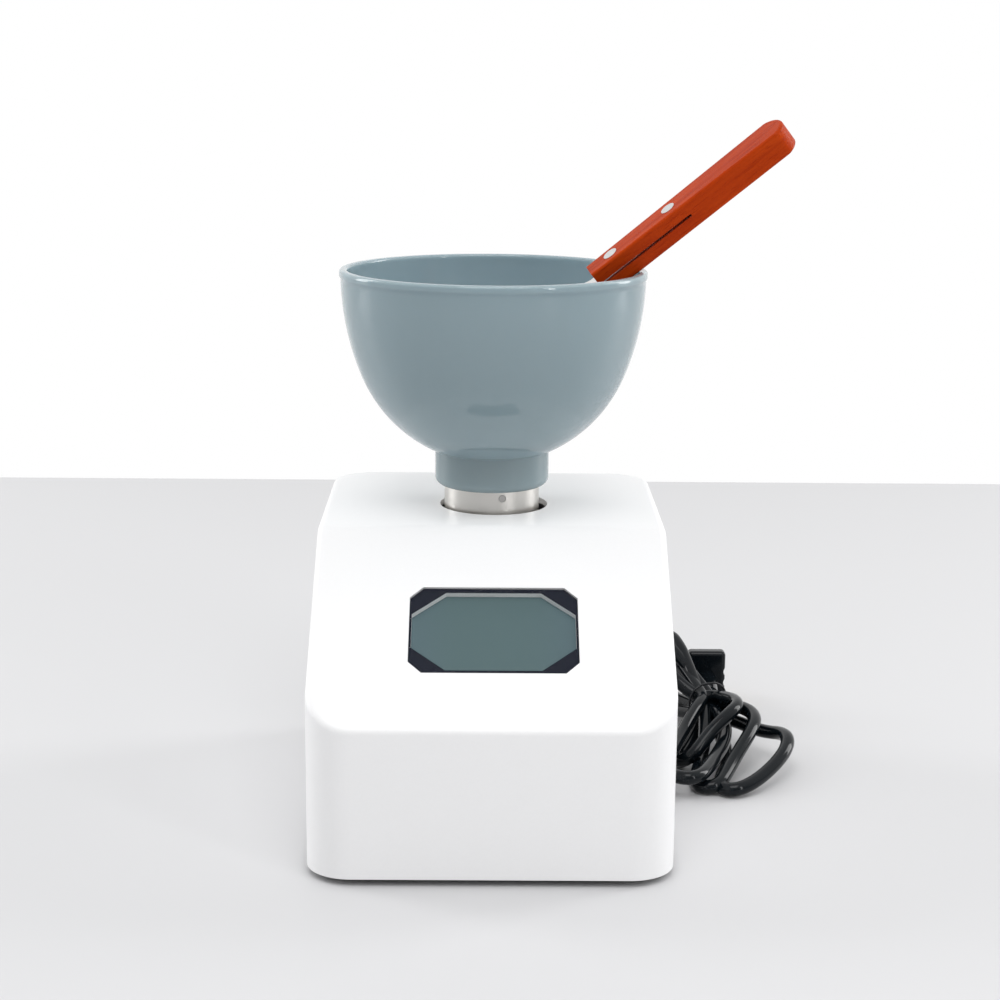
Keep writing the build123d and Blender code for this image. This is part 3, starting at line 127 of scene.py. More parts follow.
# Each turn behind the waist: offset across the hank at its far end, radius of its fold, and
# whether it runs out along the bottom (-1) or the top (1)
BACK_TURNS = [(-0.0032, 0.0174, -1), (0.0032, 0.0174, 1), (0.0, 0.0112, -1)]


# ---------------------------------------------------------------- settings
class StageSettings(bpy.types.PropertyGroup):
    """Camera and floor."""

    eye: FloatVectorProperty(name="Eye", description="Where the camera stands", subtype="XYZ",
                             unit="LENGTH", default=(-0.00438, -0.85269, 0.31553))
    pitch: FloatProperty(name="Pitch", description="How far the camera looks down",
                         subtype="ANGLE", default=0.2206)
    yaw: FloatProperty(name="Yaw", description="How far the camera looks to the right",
                       subtype="ANGLE", default=0.0094)
    roll: FloatProperty(name="Roll", description="How far the camera leans", subtype="ANGLE",
                        default=0.0088)
    lens: FloatProperty(name="Lens", description="Focal length in millimetres on a 36 mm sensor",
                        default=72.556)
    floor_back: FloatProperty(name="Floor back", description="Distance of the table's rear edge",
                              unit="LENGTH", default=0.62)
    floor_colour: FloatVectorProperty(name="Floor", description="Colour of the table",
                                      subtype="COLOR", default=(0.65, 0.65, 0.66))


class BowlSettings(bpy.types.PropertyGroup):
    """The mixing bowl."""

    turns: IntProperty(name="Steps", description="Steps round the bowl", default=192)
    colour: FloatVectorProperty(name="Colour", description="Colour of the bowl",
                                subtype="COLOR", default=(0.255, 0.325, 0.348))


class LeadSettings(bpy.types.PropertyGroup):
    """The mains lead."""

    diameter: FloatProperty(name="Diameter", description="Thickness of the lead",
                            unit="LENGTH", default=0.0062)


# ---------------------------------------------------------------- shader helpers
def new_group(name, inputs, outputs):
    """Empty shader group with typed sockets; returns the tree and its input and output nodes."""
    tree = bpy.data.node_groups.new(name, "ShaderNodeTree")
    for label, kind, value in inputs:
        socket = tree.interface.new_socket(label, in_out="INPUT", socket_type=kind)
        socket.default_value = value
    for label, kind in outputs:
        tree.interface.new_socket(label, in_out="OUTPUT", socket_type=kind)
    return tree, tree.nodes.new("NodeGroupInput"), tree.nodes.new("NodeGroupOutput")


def add(tree, kind, **values):
    """New node with some of its properties set."""
    node = tree.nodes.new(kind)
    for key, value in values.items():
        setattr(node, key, value)
    return node


def fine_grain():
    """Group: noise in object space that shades a colour, a roughness and a bump a little."""
    tree, given, result = new_group(
        "Fine Grain",
        [("Color", "NodeSocketColor", (0.5, 0.5, 0.5, 1)), ("Roughness", "NodeSocketFloat", 0.4),
         ("Scale", "NodeSocketFloat", 400.0), ("Strength", "NodeSocketFloat", 0.1)],
        [("Base Color", "NodeSocketColor"), ("Roughness", "NodeSocketFloat"),
         ("Normal", "NodeSocketVector")])
    where = add(tree, "ShaderNodeTexCoord")
    noise = add(tree, "ShaderNodeTexNoise")
    noise.inputs["Detail"].default_value = 4.0
    spread = add(tree, "ShaderNodeMapRange")
    spread.inputs["To Min"].default_value = -0.5
    spread.inputs["To Max"].default_value = 0.5
    swing = add(tree, "ShaderNodeMath", operation="MULTIPLY")
    rough = add(tree, "ShaderNodeMath", operation="ADD", use_clamp=True)
    lift = add(tree, "ShaderNodeMath", operation="ADD")
    lift.inputs[1].default_value = 1.0
    shade = add(tree, "ShaderNodeVectorMath", operation="SCALE")
    bump = add(tree, "ShaderNodeBump")
    bump.inputs["Distance"].default_value = 0.0002
    link = tree.links.new
    link(where.outputs["Object"], noise.inputs["Vector"])
    link(given.outputs["Scale"], noise.inputs["Scale"])
    link(noise.outputs["Fac"], spread.inputs["Value"])
    link(spread.outputs["Result"], swing.inputs[0])
    link(given.outputs["Strength"], swing.inputs[1])
    link(swing.outputs[0], rough.inputs[0])
    link(given.outputs["Roughness"], rough.inputs[1])
    link(swing.outputs[0], lift.inputs[0])
    link(given.outputs["Color"], shade.inputs[0])
    link(lift.outputs[0], shade.inputs["Scale"])
    link(noise.outputs["Fac"], bump.inputs["Height"])
    link(given.outputs["Strength"], bump.inputs["Strength"])
    link(shade.outputs[0], result.inputs["Base Color"])
    link(rough.outputs[0], result.inputs["Roughness"])
    link(bump.outputs["Normal"], result.inputs["Normal"])
    return tree


def wood_grain():
    """Group: long fibres and pores along X of the given vector, between two colours."""
    tree, given, result = new_group(
        "Wood Grain",
        [("Vector", "NodeSocketVector", (0, 0, 0)), ("Light", "NodeSocketColor", (0.6, 0.12, 0.03, 1)),
         ("Dark", "NodeSocketColor", (0.3, 0.04, 0.01, 1))],
        [("Base Color", "NodeSocketColor"), ("Roughness", "NodeSocketFloat"),
         ("Normal", "NodeSocketVector")])
    link = tree.links.new
    stretch = add(tree, "ShaderNodeMapping")
    stretch.inputs["Scale"].default_value = (22.0, 260.0, 260.0)
    bands = add(tree, "ShaderNodeTexNoise")
    bands.inputs["Scale"].default_value = 1.0
    bands.inputs["Detail"].default_value = 5.0
    bands.inputs["Distortion"].default_value = 0.4
    pores_at = add(tree, "ShaderNodeMapping")
    pores_at.inputs["Scale"].default_value = (120.0, 2200.0, 2200.0)
    pores = add(tree, "ShaderNodeTexNoise")
    pores.inputs["Scale"].default_value = 1.0
    pores.inputs["Detail"].default_value = 2.0
    pick = add(tree, "ShaderNodeMapRange")
    pick.inputs["From Min"].default_value = 0.57
    pick.inputs["From Max"].default_value = 0.72
    tone = add(tree, "ShaderNodeMix", data_type="RGBA")
    spot = add(tree, "ShaderNodeMix", data_type="RGBA")
    fade = add(tree, "ShaderNodeMath", operation="MULTIPLY")
    fade.inputs[1].default_value = 0.6
    rough = add(tree, "ShaderNodeMapRange")
    rough.inputs["To Min"].default_value = 0.28
    rough.inputs["To Max"].default_value = 0.46
    bump = add(tree, "ShaderNodeBump", invert=True)
    bump.inputs["Distance"].default_value = 0.0002
    bump.inputs["Strength"].default_value = 0.35
    link(given.outputs["Vector"], stretch.inputs["Vector"])
    link(given.outputs["Vector"], pores_at.inputs["Vector"])
    link(stretch.outputs[0], bands.inputs["Vector"])
    link(pores_at.outputs[0], pores.inputs["Vector"])
    link(pores.outputs["Fac"], pick.inputs["Value"])
    link(bands.outputs["Fac"], tone.inputs["Factor"])
    link(given.outputs["Light"], tone.inputs["A"])
    link(given.outputs["Dark"], tone.inputs["B"])
    link(pick.outputs["Result"], fade.inputs[0])
    link(fade.outputs[0], spot.inputs["Factor"])
    link(tone.outputs["Result"], spot.inputs["A"])
    link(given.outputs["Dark"], spot.inputs["B"])
    link(bands.outputs["Fac"], rough.inputs["Value"])
    link(pick.outputs["Result"], bump.inputs["Height"])
    link(spot.outputs["Result"], result.inputs["Base Color"])
    link(rough.outputs["Result"], result.inputs["Roughness"])
    link(bump.outputs["Normal"], result.inputs["Normal"])
    return tree


def shader(name):
    """Material with one Principled shader; returns the material, its tree and the shader."""
    material = bpy.data.materials.new(name)
    material.use_nodes = True
    tree = material.node_tree
    return material, tree, tree.nodes["Principled BSDF"]


# Plain finishes: colour, roughness, metallic, grain scale, grain strength, coat
FINISHES = {
    "housing_white": ((0.93, 0.93, 0.935), 0.36, 0.0, 900.0, 0.03, 0.0),
    "plate_steel": ((0.02, 0.02, 0.02), 0.45, 0.0, 500.0, 0.1, 0.0),
    "foot_rubber": ((0.02, 0.02, 0.02), 0.75, 0.0, 700.0, 0.25, 0.0),
    "zinc_steel": ((0.62, 0.62, 0.6), 0.3, 1.0, 500.0, 0.12, 0.0),
    "mask_ink": ((0.013, 0.016, 0.028), 0.5, 0.0, 300.0, 0.02, 0.0),
    "white_plastic": ((0.90, 0.90, 0.90), 0.5, 0.0, 500.0, 0.05, 0.0),
    "board_green": ((0.02, 0.13, 0.05), 0.35, 0.0, 300.0, 0.2, 0.2),
    "cast_alloy": ((0.66, 0.66, 0.66), 0.38, 1.0, 800.0, 0.2, 0.0),
    "bearing_steel": ((0.7, 0.7, 0.7), 0.16, 1.0, 500.0, 0.05, 0.0),
    "spring_steel": ((0.40, 0.39, 0.38), 0.35, 1.0, 500.0, 0.1, 0.0),
    "belt_rubber": ((0.015, 0.015, 0.015), 0.7, 0.0, 900.0, 0.3, 0.0),
    "motor_paint": ((0.05, 0.05, 0.05), 0.4, 0.0, 500.0, 0.1, 0.0),
    "magnet_grey": ((0.09, 0.09, 0.09), 0.65, 0.0, 600.0, 0.3, 0.0),
    "copper_winding": ((0.55, 0.2, 0.07), 0.35, 1.0, 1500.0, 0.5, 0.0),
    "can_sleeve": ((0.02, 0.025, 0.08), 0.25, 0.0, 300.0, 0.05, 0.3),
    "black_plastic": ((0.014, 0.014, 0.015), 0.42, 0.0, 900.0, 0.15, 0.0),
    "brass_pins": ((0.78, 0.58, 0.28), 0.25, 1.0, 500.0, 0.08, 0.0),
    "lead_sleeve": ((0.05, 0.12, 0.4), 0.4, 0.0, 500.0, 0.05, 0.0),
    "ribbon_grey": ((0.45, 0.45, 0.45), 0.5, 0.0, 500.0, 0.05, 0.0),
    "polished_steel": ((0.72, 0.72, 0.71), 0.14, 1.0, 500.0, 0.06, 0.0),
    "cord_black": ((0.004, 0.006, 0.008), 0.1, 0.0, 600.0, 0.04, 0.0),
    "tie_black": ((0.005, 0.006, 0.008), 0.2, 0.0, 600.0, 0.1, 0.0),
}
# Share of surface reflection where it isn't that of plain plastic
SHEEN = {"mask_ink": 0.08, "housing_white": 0.35, "cord_black": 0.22, "tie_black": 0.3}
MATERIALS = {}


def plain_finish(name, grain):
    """Material of one row of FINISHES."""
    colour, roughness, metallic, scale, strength, coat = FINISHES[name]
    material, tree, principled = shader(name)
    node = add(tree, "ShaderNodeGroup", node_tree=grain)
    node.inputs["Color"].default_value = (*colour, 1)
    node.inputs["Roughness"].default_value = roughness
    node.inputs["Scale"].default_value = scale
    node.inputs["Strength"].default_value = strength
    for label in ("Base Color", "Roughness", "Normal"):
        tree.links.new(node.outputs[label], principled.inputs[label])
    principled.inputs["Metallic"].default_value = metallic
    principled.inputs["Coat Weight"].default_value = coat
    principled.inputs["Specular IOR Level"].default_value = SHEEN.get(name, 0.5)
    return material


def brushed_finish():
    """Turned steel: fine rings round the spindle from noise stretched along the height."""
    material, tree, principled = shader("brushed_steel")
    where = add(tree, "ShaderNodeTexCoord")
    rings = add(tree, "ShaderNodeMapping")
    rings.inputs["Scale"].default_value = (60.0, 60.0, 9000.0)
    noise = add(tree, "ShaderNodeTexNoise")
    noise.inputs["Scale"].default_value = 1.0
    noise.inputs["Detail"].default_value = 3.0
    rough = add(tree, "ShaderNodeMapRange")
    rough.inputs["To Min"].default_value = 0.24
    rough.inputs["To Max"].default_value = 0.42
    bump = add(tree, "ShaderNodeBump")
    bump.inputs["Distance"].default_value = 0.00008
    bump.inputs["Strength"].default_value = 0.35
    link = tree.links.new
    link(where.outputs["Object"], rings.inputs["Vector"])
    link(rings.outputs[0], noise.inputs["Vector"])
    link(noise.outputs["Fac"], rough.inputs["Value"])
    link(noise.outputs["Fac"], bump.inputs["Height"])
    link(rough.outputs["Result"], principled.inputs["Roughness"])
    link(bump.outputs["Normal"], principled.inputs["Normal"])
    principled.inputs["Base Color"].default_value = (0.66, 0.64, 0.61, 1)
    principled.inputs["Metallic"].default_value = 1.0
    return material


def lens_finish():
    """Clear acrylic, thin enough to let straight light through."""
    material, _, principled = shader("clear_lens")
    principled.inputs["Base Color"].default_value = (0.02, 0.02, 0.022, 1)
    principled.inputs["Roughness"].default_value = 0.0
    principled.inputs["Alpha"].default_value = 0.06
    return material


def lcd_finish():
    """Unlit liquid crystal panel: grey green, bluish towards its edges, with specks of dust."""
    material, tree, principled = shader("lcd_glass")
    link = tree.links.new
    where = add(tree, "ShaderNodeTexCoord")
    part = add(tree, "ShaderNodeSeparateXYZ")
    side = add(tree, "ShaderNodeMath", operation="ABSOLUTE")
    edge = add(tree, "ShaderNodeMapRange", interpolation_type="SMOOTHSTEP")
    edge.inputs["From Min"].default_value = 0.012
    edge.inputs["From Max"].default_value = 0.036
    tone = add(tree, "ShaderNodeMix", data_type="RGBA")
    tone.inputs["A"].default_value = (0.115, 0.183, 0.192, 1)
    tone.inputs["B"].default_value = (0.120, 0.186, 0.208, 1)
    cells = add(tree, "ShaderNodeTexVoronoi", feature="F1")
    cells.inputs["Scale"].default_value = 260.0
    speck = add(tree, "ShaderNodeMapRange")
    speck.inputs["From Min"].default_value = 0.05
    speck.inputs["From Max"].default_value = 0.02
    speck.inputs["To Max"].default_value = 0.5
    dust = add(tree, "ShaderNodeMix", data_type="RGBA")
    dust.inputs["B"].default_value = (0.42, 0.45, 0.44, 1)
    link(where.outputs["Object"], part.inputs[0])
    link(part.outputs["X"], side.inputs[0])
    link(side.outputs[0], edge.inputs["Value"])
    link(edge.outputs["Result"], tone.inputs["Factor"])
    link(where.outputs["Object"], cells.inputs["Vector"])
    link(cells.outputs["Distance"], speck.inputs["Value"])
    link(speck.outputs["Result"], dust.inputs["Factor"])
    link(tone.outputs["Result"], dust.inputs["A"])
    link(dust.outputs["Result"], principled.inputs["Base Color"])
    principled.inputs["Roughness"].default_value = 0.4
    principled.inputs["Specular IOR Level"].default_value = 0.15
    return material


def bowl_finish(colour):
    """Glossy tinted plastic with a little light passing through its wall."""
    material, tree, principled = shader("bowl_plastic")
    where = add(tree, "ShaderNodeTexCoord")
    noise = add(tree, "ShaderNodeTexNoise")
    noise.inputs["Scale"].default_value = 35.0
    noise.inputs["Detail"].default_value = 1.0
    bump = add(tree, "ShaderNodeBump")
    bump.inputs["Distance"].default_value = 0.0006
    bump.inputs["Strength"].default_value = 0.12
    tree.links.new(where.outputs["Object"], noise.inputs["Vector"])
    tree.links.new(noise.outputs["Fac"], bump.inputs["Height"])
    tree.links.new(bump.outputs["Normal"], principled.inputs["Normal"])
    principled.inputs["Base Color"].default_value = (*colour, 1)
    principled.inputs["Roughness"].default_value = 0.08
    principled.inputs["Subsurface Weight"].default_value = 0.6
    principled.inputs["Subsurface Radius"].default_value = (0.010, 0.011, 0.012)
    principled.inputs["Subsurface Scale"].default_value = 1.0
    return material


def handle_finish(wood):
    """Oiled red wood whose fibres run along the handle."""
    material, tree, principled = shader("handle_wood")
    where = add(tree, "ShaderNodeTexCoord")
    turn = add(tree, "ShaderNodeMapping", vector_type="TEXTURE")
    turn.inputs["Rotation"].default_value = (0, -math.radians(39.2), 0)
    node = add(tree, "ShaderNodeGroup", node_tree=wood)
    node.inputs["Light"].default_value = (0.60, 0.068, 0.004, 1)
    node.inputs["Dark"].default_value = (0.27, 0.014, 0.001, 1)
    tree.links.new(where.outputs["Object"], turn.inputs["Vector"])
    tree.links.new(turn.outputs[0], node.inputs["Vector"])
    for label in ("Base Color", "Roughness", "Normal"):
        tree.links.new(node.outputs[label], principled.inputs[label])
    principled.inputs["Specular IOR Level"].default_value = 0.06
    return material


# ---------------------------------------------------------------- mesh helpers
def surface(name, points, wrap_u, wrap_v):
    """Mesh of quads over a two-parameter grid of points; wrap joins the last row to the first."""
    rows, columns = points.shape[:2]
    index = np.arange(rows * columns).reshape(rows, columns)
    if wrap_u:
        index = np.vstack([index, index[:1]])
    if wrap_v:
        index = np.hstack([index, index[:, :1]])
    quads = np.stack([index[:-1, :-1], index[1:, :-1], index[1:, 1:], index[:-1, 1:]], -1)
    mesh = bpy.data.meshes.new(name)
    mesh.from_pydata(points.reshape(-1, 3), [], quads.reshape(-1, 4).tolist())
    mesh.shade_smooth()
    return mesh


def add_piece(name, data, slot, body, nodes=()):
    """Object with the slot's material, put in its body; the CAD nodes it stands for are hidden."""
    piece = bpy.data.objects.new(name, data)
    bpy.context.scene.collection.objects.link(piece)
    data.materials.append(MATERIALS[slot])
    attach(piece, body)
    if nodes:
        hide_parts(*nodes)
    return piece


def arc(centre, radius, start, end, steps):
    """Points (distance, height) of an arc between two angles below the horizontal."""
    angle = np.linspace(start, end, steps)
    return np.stack([centre[0] + radius * np.cos(angle), centre[1] - radius * np.sin(angle)], -1)


def turned(profile, steps):
    """Grid of a profile (distance, height) turned round the Z axis in equal steps."""
    angle = np.linspace(0, 2 * np.pi, steps, endpoint=False)
    spread = profile[:, None, 0]
    return np.stack([spread * np.cos(angle), spread * np.sin(angle),
                     np.broadcast_to(profile[:, None, 1], (len(profile), steps))], -1)


# ---------------------------------------------------------------- operators
class MIXER_OT_camera(bpy.types.Operator):
    """Camera at the photograph's place, turned by yaw, pitch and roll."""

    bl_idname = "mixer.camera"
    bl_label = "Camera"

    def execute(self, context):
        given = context.scene.mixer_stage
        ahead = Vector((math.sin(given.yaw) * math.cos(given.pitch),
                        math.cos(given.yaw) * math.cos(given.pitch), -math.sin(given.pitch)))
        right = Vector((math.cos(given.yaw), -math.sin(given.yaw), 0))
        up = right.cross(ahead)
        turned_right = right * math.cos(given.roll) + up * math.sin(given.roll)
        turned_up = up * math.cos(given.roll) - right * math.sin(given.roll)
        data = bpy.data.cameras.new("camera")
        data.lens = given.lens
        data.sensor_width = 36.0
        data.clip_start = 0.05
        data.clip_end = 50.0
        camera = bpy.data.objects.new("camera", data)
        context.scene.collection.objects.link(camera)
        axes = Matrix((turned_right, turned_up, -ahead)).transposed()
        camera.matrix_world = Matrix.Translation(given.eye) @ axes.to_4x4()
        context.scene.camera = camera
        return {"FINISHED"}


class MIXER_OT_stage(bpy.types.Operator):
    """Pale table with its rear edge in view, a white room and four soft lights."""

    bl_idname = "mixer.stage"
    bl_label = "Stage"

    def execute(self, context):
        given = context.scene.mixer_stage
        context.scene.view_settings.view_transform = "Standard"
        half = 3.0
        front = -3.0
        mesh = bpy.data.meshes.new("table")
        mesh.from_pydata([(-half, front, 0), (half, front, 0), (half, given.floor_back, 0),
                          (-half, given.floor_back, 0)], [], [(0, 1, 2, 3)])
        material, _, principled = shader("table")
        principled.inputs["Base Color"].default_value = (*given.floor_colour, 1)
        principled.inputs["Roughness"].default_value = 0.5
        principled.inputs["Specular IOR Level"].default_value = 0.3
        mesh.materials.append(material)
        table = bpy.data.objects.new("table", mesh)
        context.scene.collection.objects.link(table)
        self.room(context)
        self.lamp("above", (0.0, -0.75, 1.5), (0, 0, 0.1), (1.0, 1.0), 9.5)
        self.lamp("left", (-1.3, 0.5, 0.6), (0, 0, 0.2), (0.4, 1.1), 7.5)
        self.lamp("right", (1.3, 0.5, 0.6), (0, 0, 0.2), (0.4, 1.1), 7.5)
        self.lamp("glint", (0.8, -0.9, 0.5), (0, 0, 0.15), (0.1, 0.9), 2.2)
        return {"FINISHED"}

    def room(self, context):
        """World that is white to the camera; as a light and in reflections it is bright above
        and behind, and dim low in front."""
        world = bpy.data.worlds.new("room")
        context.scene.world = world
        world.use_nodes = True
        tree = world.node_tree
        link = tree.links.new
        back = tree.nodes["Background"]
        path = add(tree, "ShaderNodeLightPath")
        where = add(tree, "ShaderNodeTexCoord")
        part = add(tree, "ShaderNodeSeparateXYZ")
        front = add(tree, "ShaderNodeMath", operation="MULTIPLY")
        front.inputs[1].default_value = 0.7
        height = add(tree, "ShaderNodeMath", operation="ADD")
        rise = add(tree, "ShaderNodeMapRange", interpolation_type="SMOOTHSTEP")
        rise.inputs["From Min"].default_value = -0.5
        rise.inputs["From Max"].default_value = 0.6
        rise.inputs["To Min"].default_value = 0.35
        rise.inputs["To Max"].default_value = 1.0
        share = add(tree, "ShaderNodeMapRange")
        share.inputs["To Min"].default_value = 0.76
        share.inputs["To Max"].default_value = 1.0
        lit = add(tree, "ShaderNodeMath", operation="MULTIPLY")
        level = add(tree, "ShaderNodeMix", data_type="FLOAT")
        level.inputs["B"].default_value = 1.0
        link(where.outputs["Generated"], part.inputs[0])
        link(part.outputs["Y"], front.inputs[0])
        link(front.outputs[0], height.inputs[0])
        link(part.outputs["Z"], height.inputs[1])
        link(height.outputs[0], rise.inputs["Value"])
        link(path.outputs["Is Glossy Ray"], share.inputs["Value"])
        link(share.outputs["Result"], lit.inputs[0])
        link(rise.outputs["Result"], lit.inputs[1])
        link(path.outputs["Is Camera Ray"], level.inputs["Factor"])
        link(lit.outputs[0], level.inputs["A"])
        link(level.outputs["Result"], back.inputs["Strength"])
        back.inputs["Color"].default_value = (1, 1, 1, 1)

    def lamp(self, name, place, target, size, power):
        """Soft light of a width and a height that faces a point."""
        data = bpy.data.lights.new(name, "AREA")
        data.shape = "RECTANGLE"
        data.size, data.size_y = size
        data.energy = power
        lamp = bpy.data.objects.new(name, data)
        bpy.context.scene.collection.objects.link(lamp)
        lamp.location = place
        aim = Vector(target) - Vector(place)
        lamp.rotation_euler = aim.to_track_quat("-Z", "Y").to_euler()


class MIXER_OT_finishes(bpy.types.Operator):
    """Materials for every slot, given to each CAD node that stays in view."""

    bl_idname = "mixer.finishes"
    bl_label = "Finishes"

    def execute(self, context):
        grain = fine_grain()
        for name in FINISHES:
            MATERIALS[name] = plain_finish(name, grain)
        MATERIALS["brushed_steel"] = brushed_finish()
        MATERIALS["clear_lens"] = lens_finish()
        MATERIALS["lcd_glass"] = lcd_finish()
        MATERIALS["bowl_plastic"] = bowl_finish(context.scene.mixer_bowl.colour)
        MATERIALS["handle_wood"] = handle_finish(wood_grain())
        for part in frame["record"]["subparts"]:
            node = NODES[part["node"]]
            if not node.material_slots:
                node.data.materials.append(None)
            for place in node.material_slots:
                place.material = MATERIALS[part["material_slot"]]
        return {"FINISHED"}


class MIXER_OT_lead(bpy.types.Operator):
    """Mains lead: one smooth line through the route's points, its turns behind the waist laid by
    a loop, from the connector's boot to the plug."""

    bl_idname = "mixer.lead"
    bl_label = "Mains lead"

    def execute(self, context):
        given = context.scene.mixer_lead
        route = list(LEAD_START)
        for i, loop in enumerate(FRONT_LOOPS):
            route += loop
            if i < len(BACK_TURNS):
                route += self.back_turn(loop[-1], FRONT_LOOPS[i + 1][0], *BACK_TURNS[i])
        route += LEAD_END
        data = bpy.data.curves.new("mains_lead", "CURVE")
        data.dimensions = "3D"
        data.bevel_depth = given.diameter / 2
        data.bevel_resolution = 6
        data.resolution_u = 8
        data.use_fill_caps = True
        line = data.splines.new("NURBS")
        line.points.add(len(route) - 1)
        for point, place in zip(line.points, route):
            point.co = (*place, 1)
        line.order_u = 3
        line.use_endpoint_u = True
        piece = add_piece("mains_lead", data, "cord_black", "housing",
                          ("cord_lead", "cord_hank", "cord_tail"))
        return {"FINISHED"}

    def back_turn(self, start, end, across, radius, way):
        """Points of one turn behind the waist: out along one side of the hank, a half circle
        round its far end and home along the other side."""
        along = (FAR_END - WAIST).normalized()
        side = Vector((along.y, -along.x, 0))
        reach = (FAR_END - WAIST).length
        first = (Vector(start) - WAIST).dot(side)
        last = (Vector(end) - WAIST).dot(side)
        points = []

        def put(distance, offset, height):
            place = WAIST + along * distance + side * offset
            points.append((place.x, place.y, height))

        out_height = BACK_HEIGHT + way * radius
        home_height = BACK_HEIGHT - way * radius
        for part in BACK_STEPS:
            put(reach * part, first + (across - first) * part,
                start[2] + (out_height - start[2]) * part)
        for turn in np.radians(np.arange(-75, 76, 30)):
            put(reach + 1.05 * radius * math.cos(turn), across,
                BACK_HEIGHT - 1.05 * way * radius * math.sin(turn))
        for part in reversed(BACK_STEPS):
            put(reach * part, last + (across - last) * part,
                end[2] + (home_height - end[2]) * part)
        return points


class MIXER_OT_lens(bpy.types.Operator):
    """Display lens: an octagon drawn in by each ring's inset and set along the slope's normal,
    closed at both ends to its centre."""

    bl_idname = "mixer.lens"
    bl_label = "Lens"

    def execute(self, context):
        x, y = LENS_HALF
        cut = LENS_CUT
        corner = np.array([(x - cut, -y), (x, cut - y), (x, y - cut), (x - cut, y),
                           (cut - x, y), (-x, y - cut), (-x, cut - y), (cut - x, -y)])
        rings = ((0.0, -LENS_DEPTH), (1.0, -LENS_DEPTH), (1.0, -LENS_EDGE),
                 (1.0 - LENS_EDGE / y, 0.0), (0.0, 0.0))
        right = np.array((1.0, 0.0, 0.0))
        points = np.array([[np.array(DISPLAY_CENTRE) + right * u * grow
                            + np.array(SLOPE_UP) * v * grow + np.array(SLOPE_OUT) * out
                            for u, v in corner] for grow, out in rings])
        mesh = surface("lens", points, False, True)
        mesh.shade_flat()
        add_piece("lens", mesh, "clear_lens", "housing", ("display_lens",))
        return {"FINISHED"}


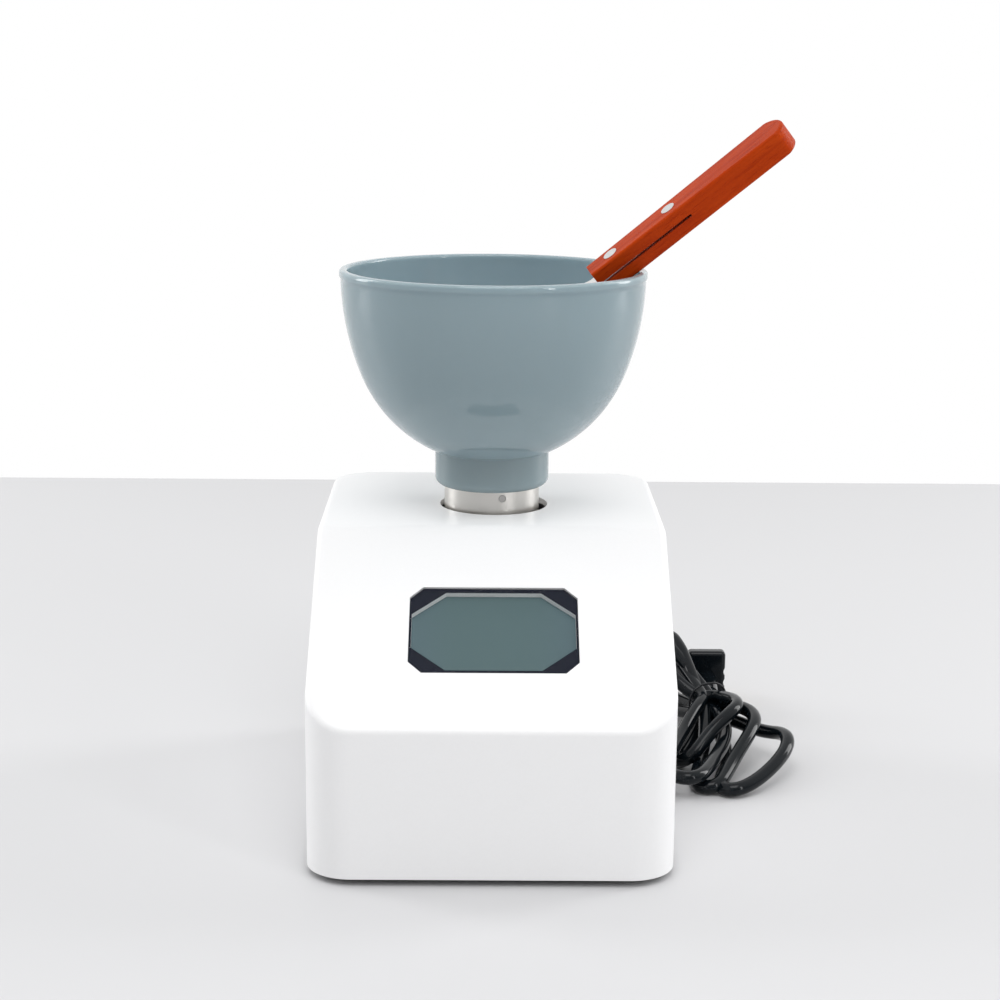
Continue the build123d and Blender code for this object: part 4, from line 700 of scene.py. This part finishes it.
class MIXER_OT_bowl(bpy.types.Operator):
    """Mixing bowl: a profile of two tangent arcs, a rounded lip and a neck with its socket, turned
    round the spindle's axis."""

    bl_idname = "mixer.bowl"
    bl_label = "Bowl"

    def execute(self, context):
        given = context.scene.mixer_bowl
        top = BOWL_HIGH.z
        low = BOWL_LOW.z
        rim = BOWL_HIGH.x
        inner_upper = UPPER_ARC[2] - BOWL_WALL
        inner_lower = LOWER_ARC[2] - BOWL_WALL
        bead_low = top - 0.0036
        bead_angle = -math.asin((bead_low - UPPER_ARC[1]) / UPPER_ARC[2])
        neck_angle = math.pi / 2 - math.asin((NECK_RADIUS + CREASE_ROUND - LOWER_ARC[0]) / LOWER_ARC[2])
        floor_angle = math.pi / 2 - math.asin((FLOOR_FLAT - LOWER_ARC[0]) / inner_lower)
        neck_top = LOWER_ARC[1] - LOWER_ARC[2] * math.sin(neck_angle)
        lip = arc((rim - 0.0013, top - 0.0013), 0.0013, 0, -math.pi / 2, 7)
        inner_edge = UPPER_ARC[0] + inner_upper * math.cos(
            math.asin((top - 0.0012 - UPPER_ARC[1]) / inner_upper))
        lip_in = arc((inner_edge + 0.0012, top - 0.0012), 0.0012, -math.pi / 2, -math.pi, 7)
        foot = arc((NECK_RADIUS - NECK_ROUND, low + NECK_ROUND), NECK_ROUND, math.pi / 2, 0, 10)
        throat = arc((NECK_RADIUS + CREASE_ROUND, neck_top - CREASE_ROUND), CREASE_ROUND, math.pi,
                     math.pi * 1.4, 5)
        profile = np.vstack([
            [(0.0, SOCKET_TOP), (SOCKET_RADIUS - 0.001, SOCKET_TOP), (SOCKET_RADIUS, SOCKET_TOP),
             (SOCKET_RADIUS, SOCKET_TOP - 0.001), (SOCKET_RADIUS, low + 0.0004)],
            foot,
            [(NECK_RADIUS, low + 0.0044), (NECK_RADIUS, neck_top - 0.0012)],
            throat,
            arc(LOWER_ARC, LOWER_ARC[2], neck_angle, ARC_MEET, 40),
            arc(UPPER_ARC, UPPER_ARC[2], ARC_MEET, bead_angle, 24)[1:],
            [(rim - 0.0002, bead_low + 0.0004), (rim, bead_low + 0.001)],
            lip, lip_in,
            arc(UPPER_ARC, inner_upper, -math.asin((top - 0.0016 - UPPER_ARC[1]) / inner_upper),
                ARC_MEET, 24),
            arc(LOWER_ARC, inner_lower, ARC_MEET, floor_angle, 40)[1:],
            [(FLOOR_FLAT * 0.85, LOWER_ARC[1] - inner_lower * math.sin(floor_angle) - 0.00005),
             (0.0, LOWER_ARC[1] - inner_lower * math.sin(floor_angle) - 0.00005)]])
        mesh = surface("bowl", turned(profile, given.turns), False, True)
        add_piece("bowl", mesh, "bowl_plastic", "bowl", ("mixing_bowl",))
        return {"FINISHED"}


class MIXER_PT_panel(bpy.types.Panel):
    """Lists the mixer's operators and settings."""

    bl_label = "Mixer"
    bl_idname = "MIXER_PT_panel"
    bl_space_type = "VIEW_3D"
    bl_region_type = "UI"
    bl_category = "Mixer"

    def draw(self, context):
        for operator in OPERATORS:
            self.layout.operator(operator.bl_idname)
        for name, group in SETTINGS:
            given = getattr(context.scene, name)
            for label in group.__annotations__:
                self.layout.prop(given, label)


SETTINGS = (("mixer_stage", StageSettings), ("mixer_bowl", BowlSettings),
            ("mixer_lead", LeadSettings))
OPERATORS = (MIXER_OT_camera, MIXER_OT_finishes, MIXER_OT_lead, MIXER_OT_bowl, MIXER_OT_lens,
             MIXER_OT_stage)


def register():
    for name, group in SETTINGS:
        bpy.utils.register_class(group)
        setattr(bpy.types.Scene, name, PointerProperty(type=group))
    for operator in OPERATORS:
        bpy.utils.register_class(operator)
    bpy.utils.register_class(MIXER_PT_panel)


def unregister():
    bpy.utils.unregister_class(MIXER_PT_panel)
    for operator in reversed(OPERATORS):
        bpy.utils.unregister_class(operator)
    for name, group in reversed(SETTINGS):
        delattr(bpy.types.Scene, name)
        bpy.utils.unregister_class(group)


def main():
    register()
    bpy.ops.mixer.camera()
    bpy.ops.mixer.finishes()
    bpy.ops.mixer.lead()
    bpy.ops.mixer.bowl()
    bpy.ops.mixer.lens()
    bpy.ops.mixer.stage()


if __name__ == "__main__":
    main()
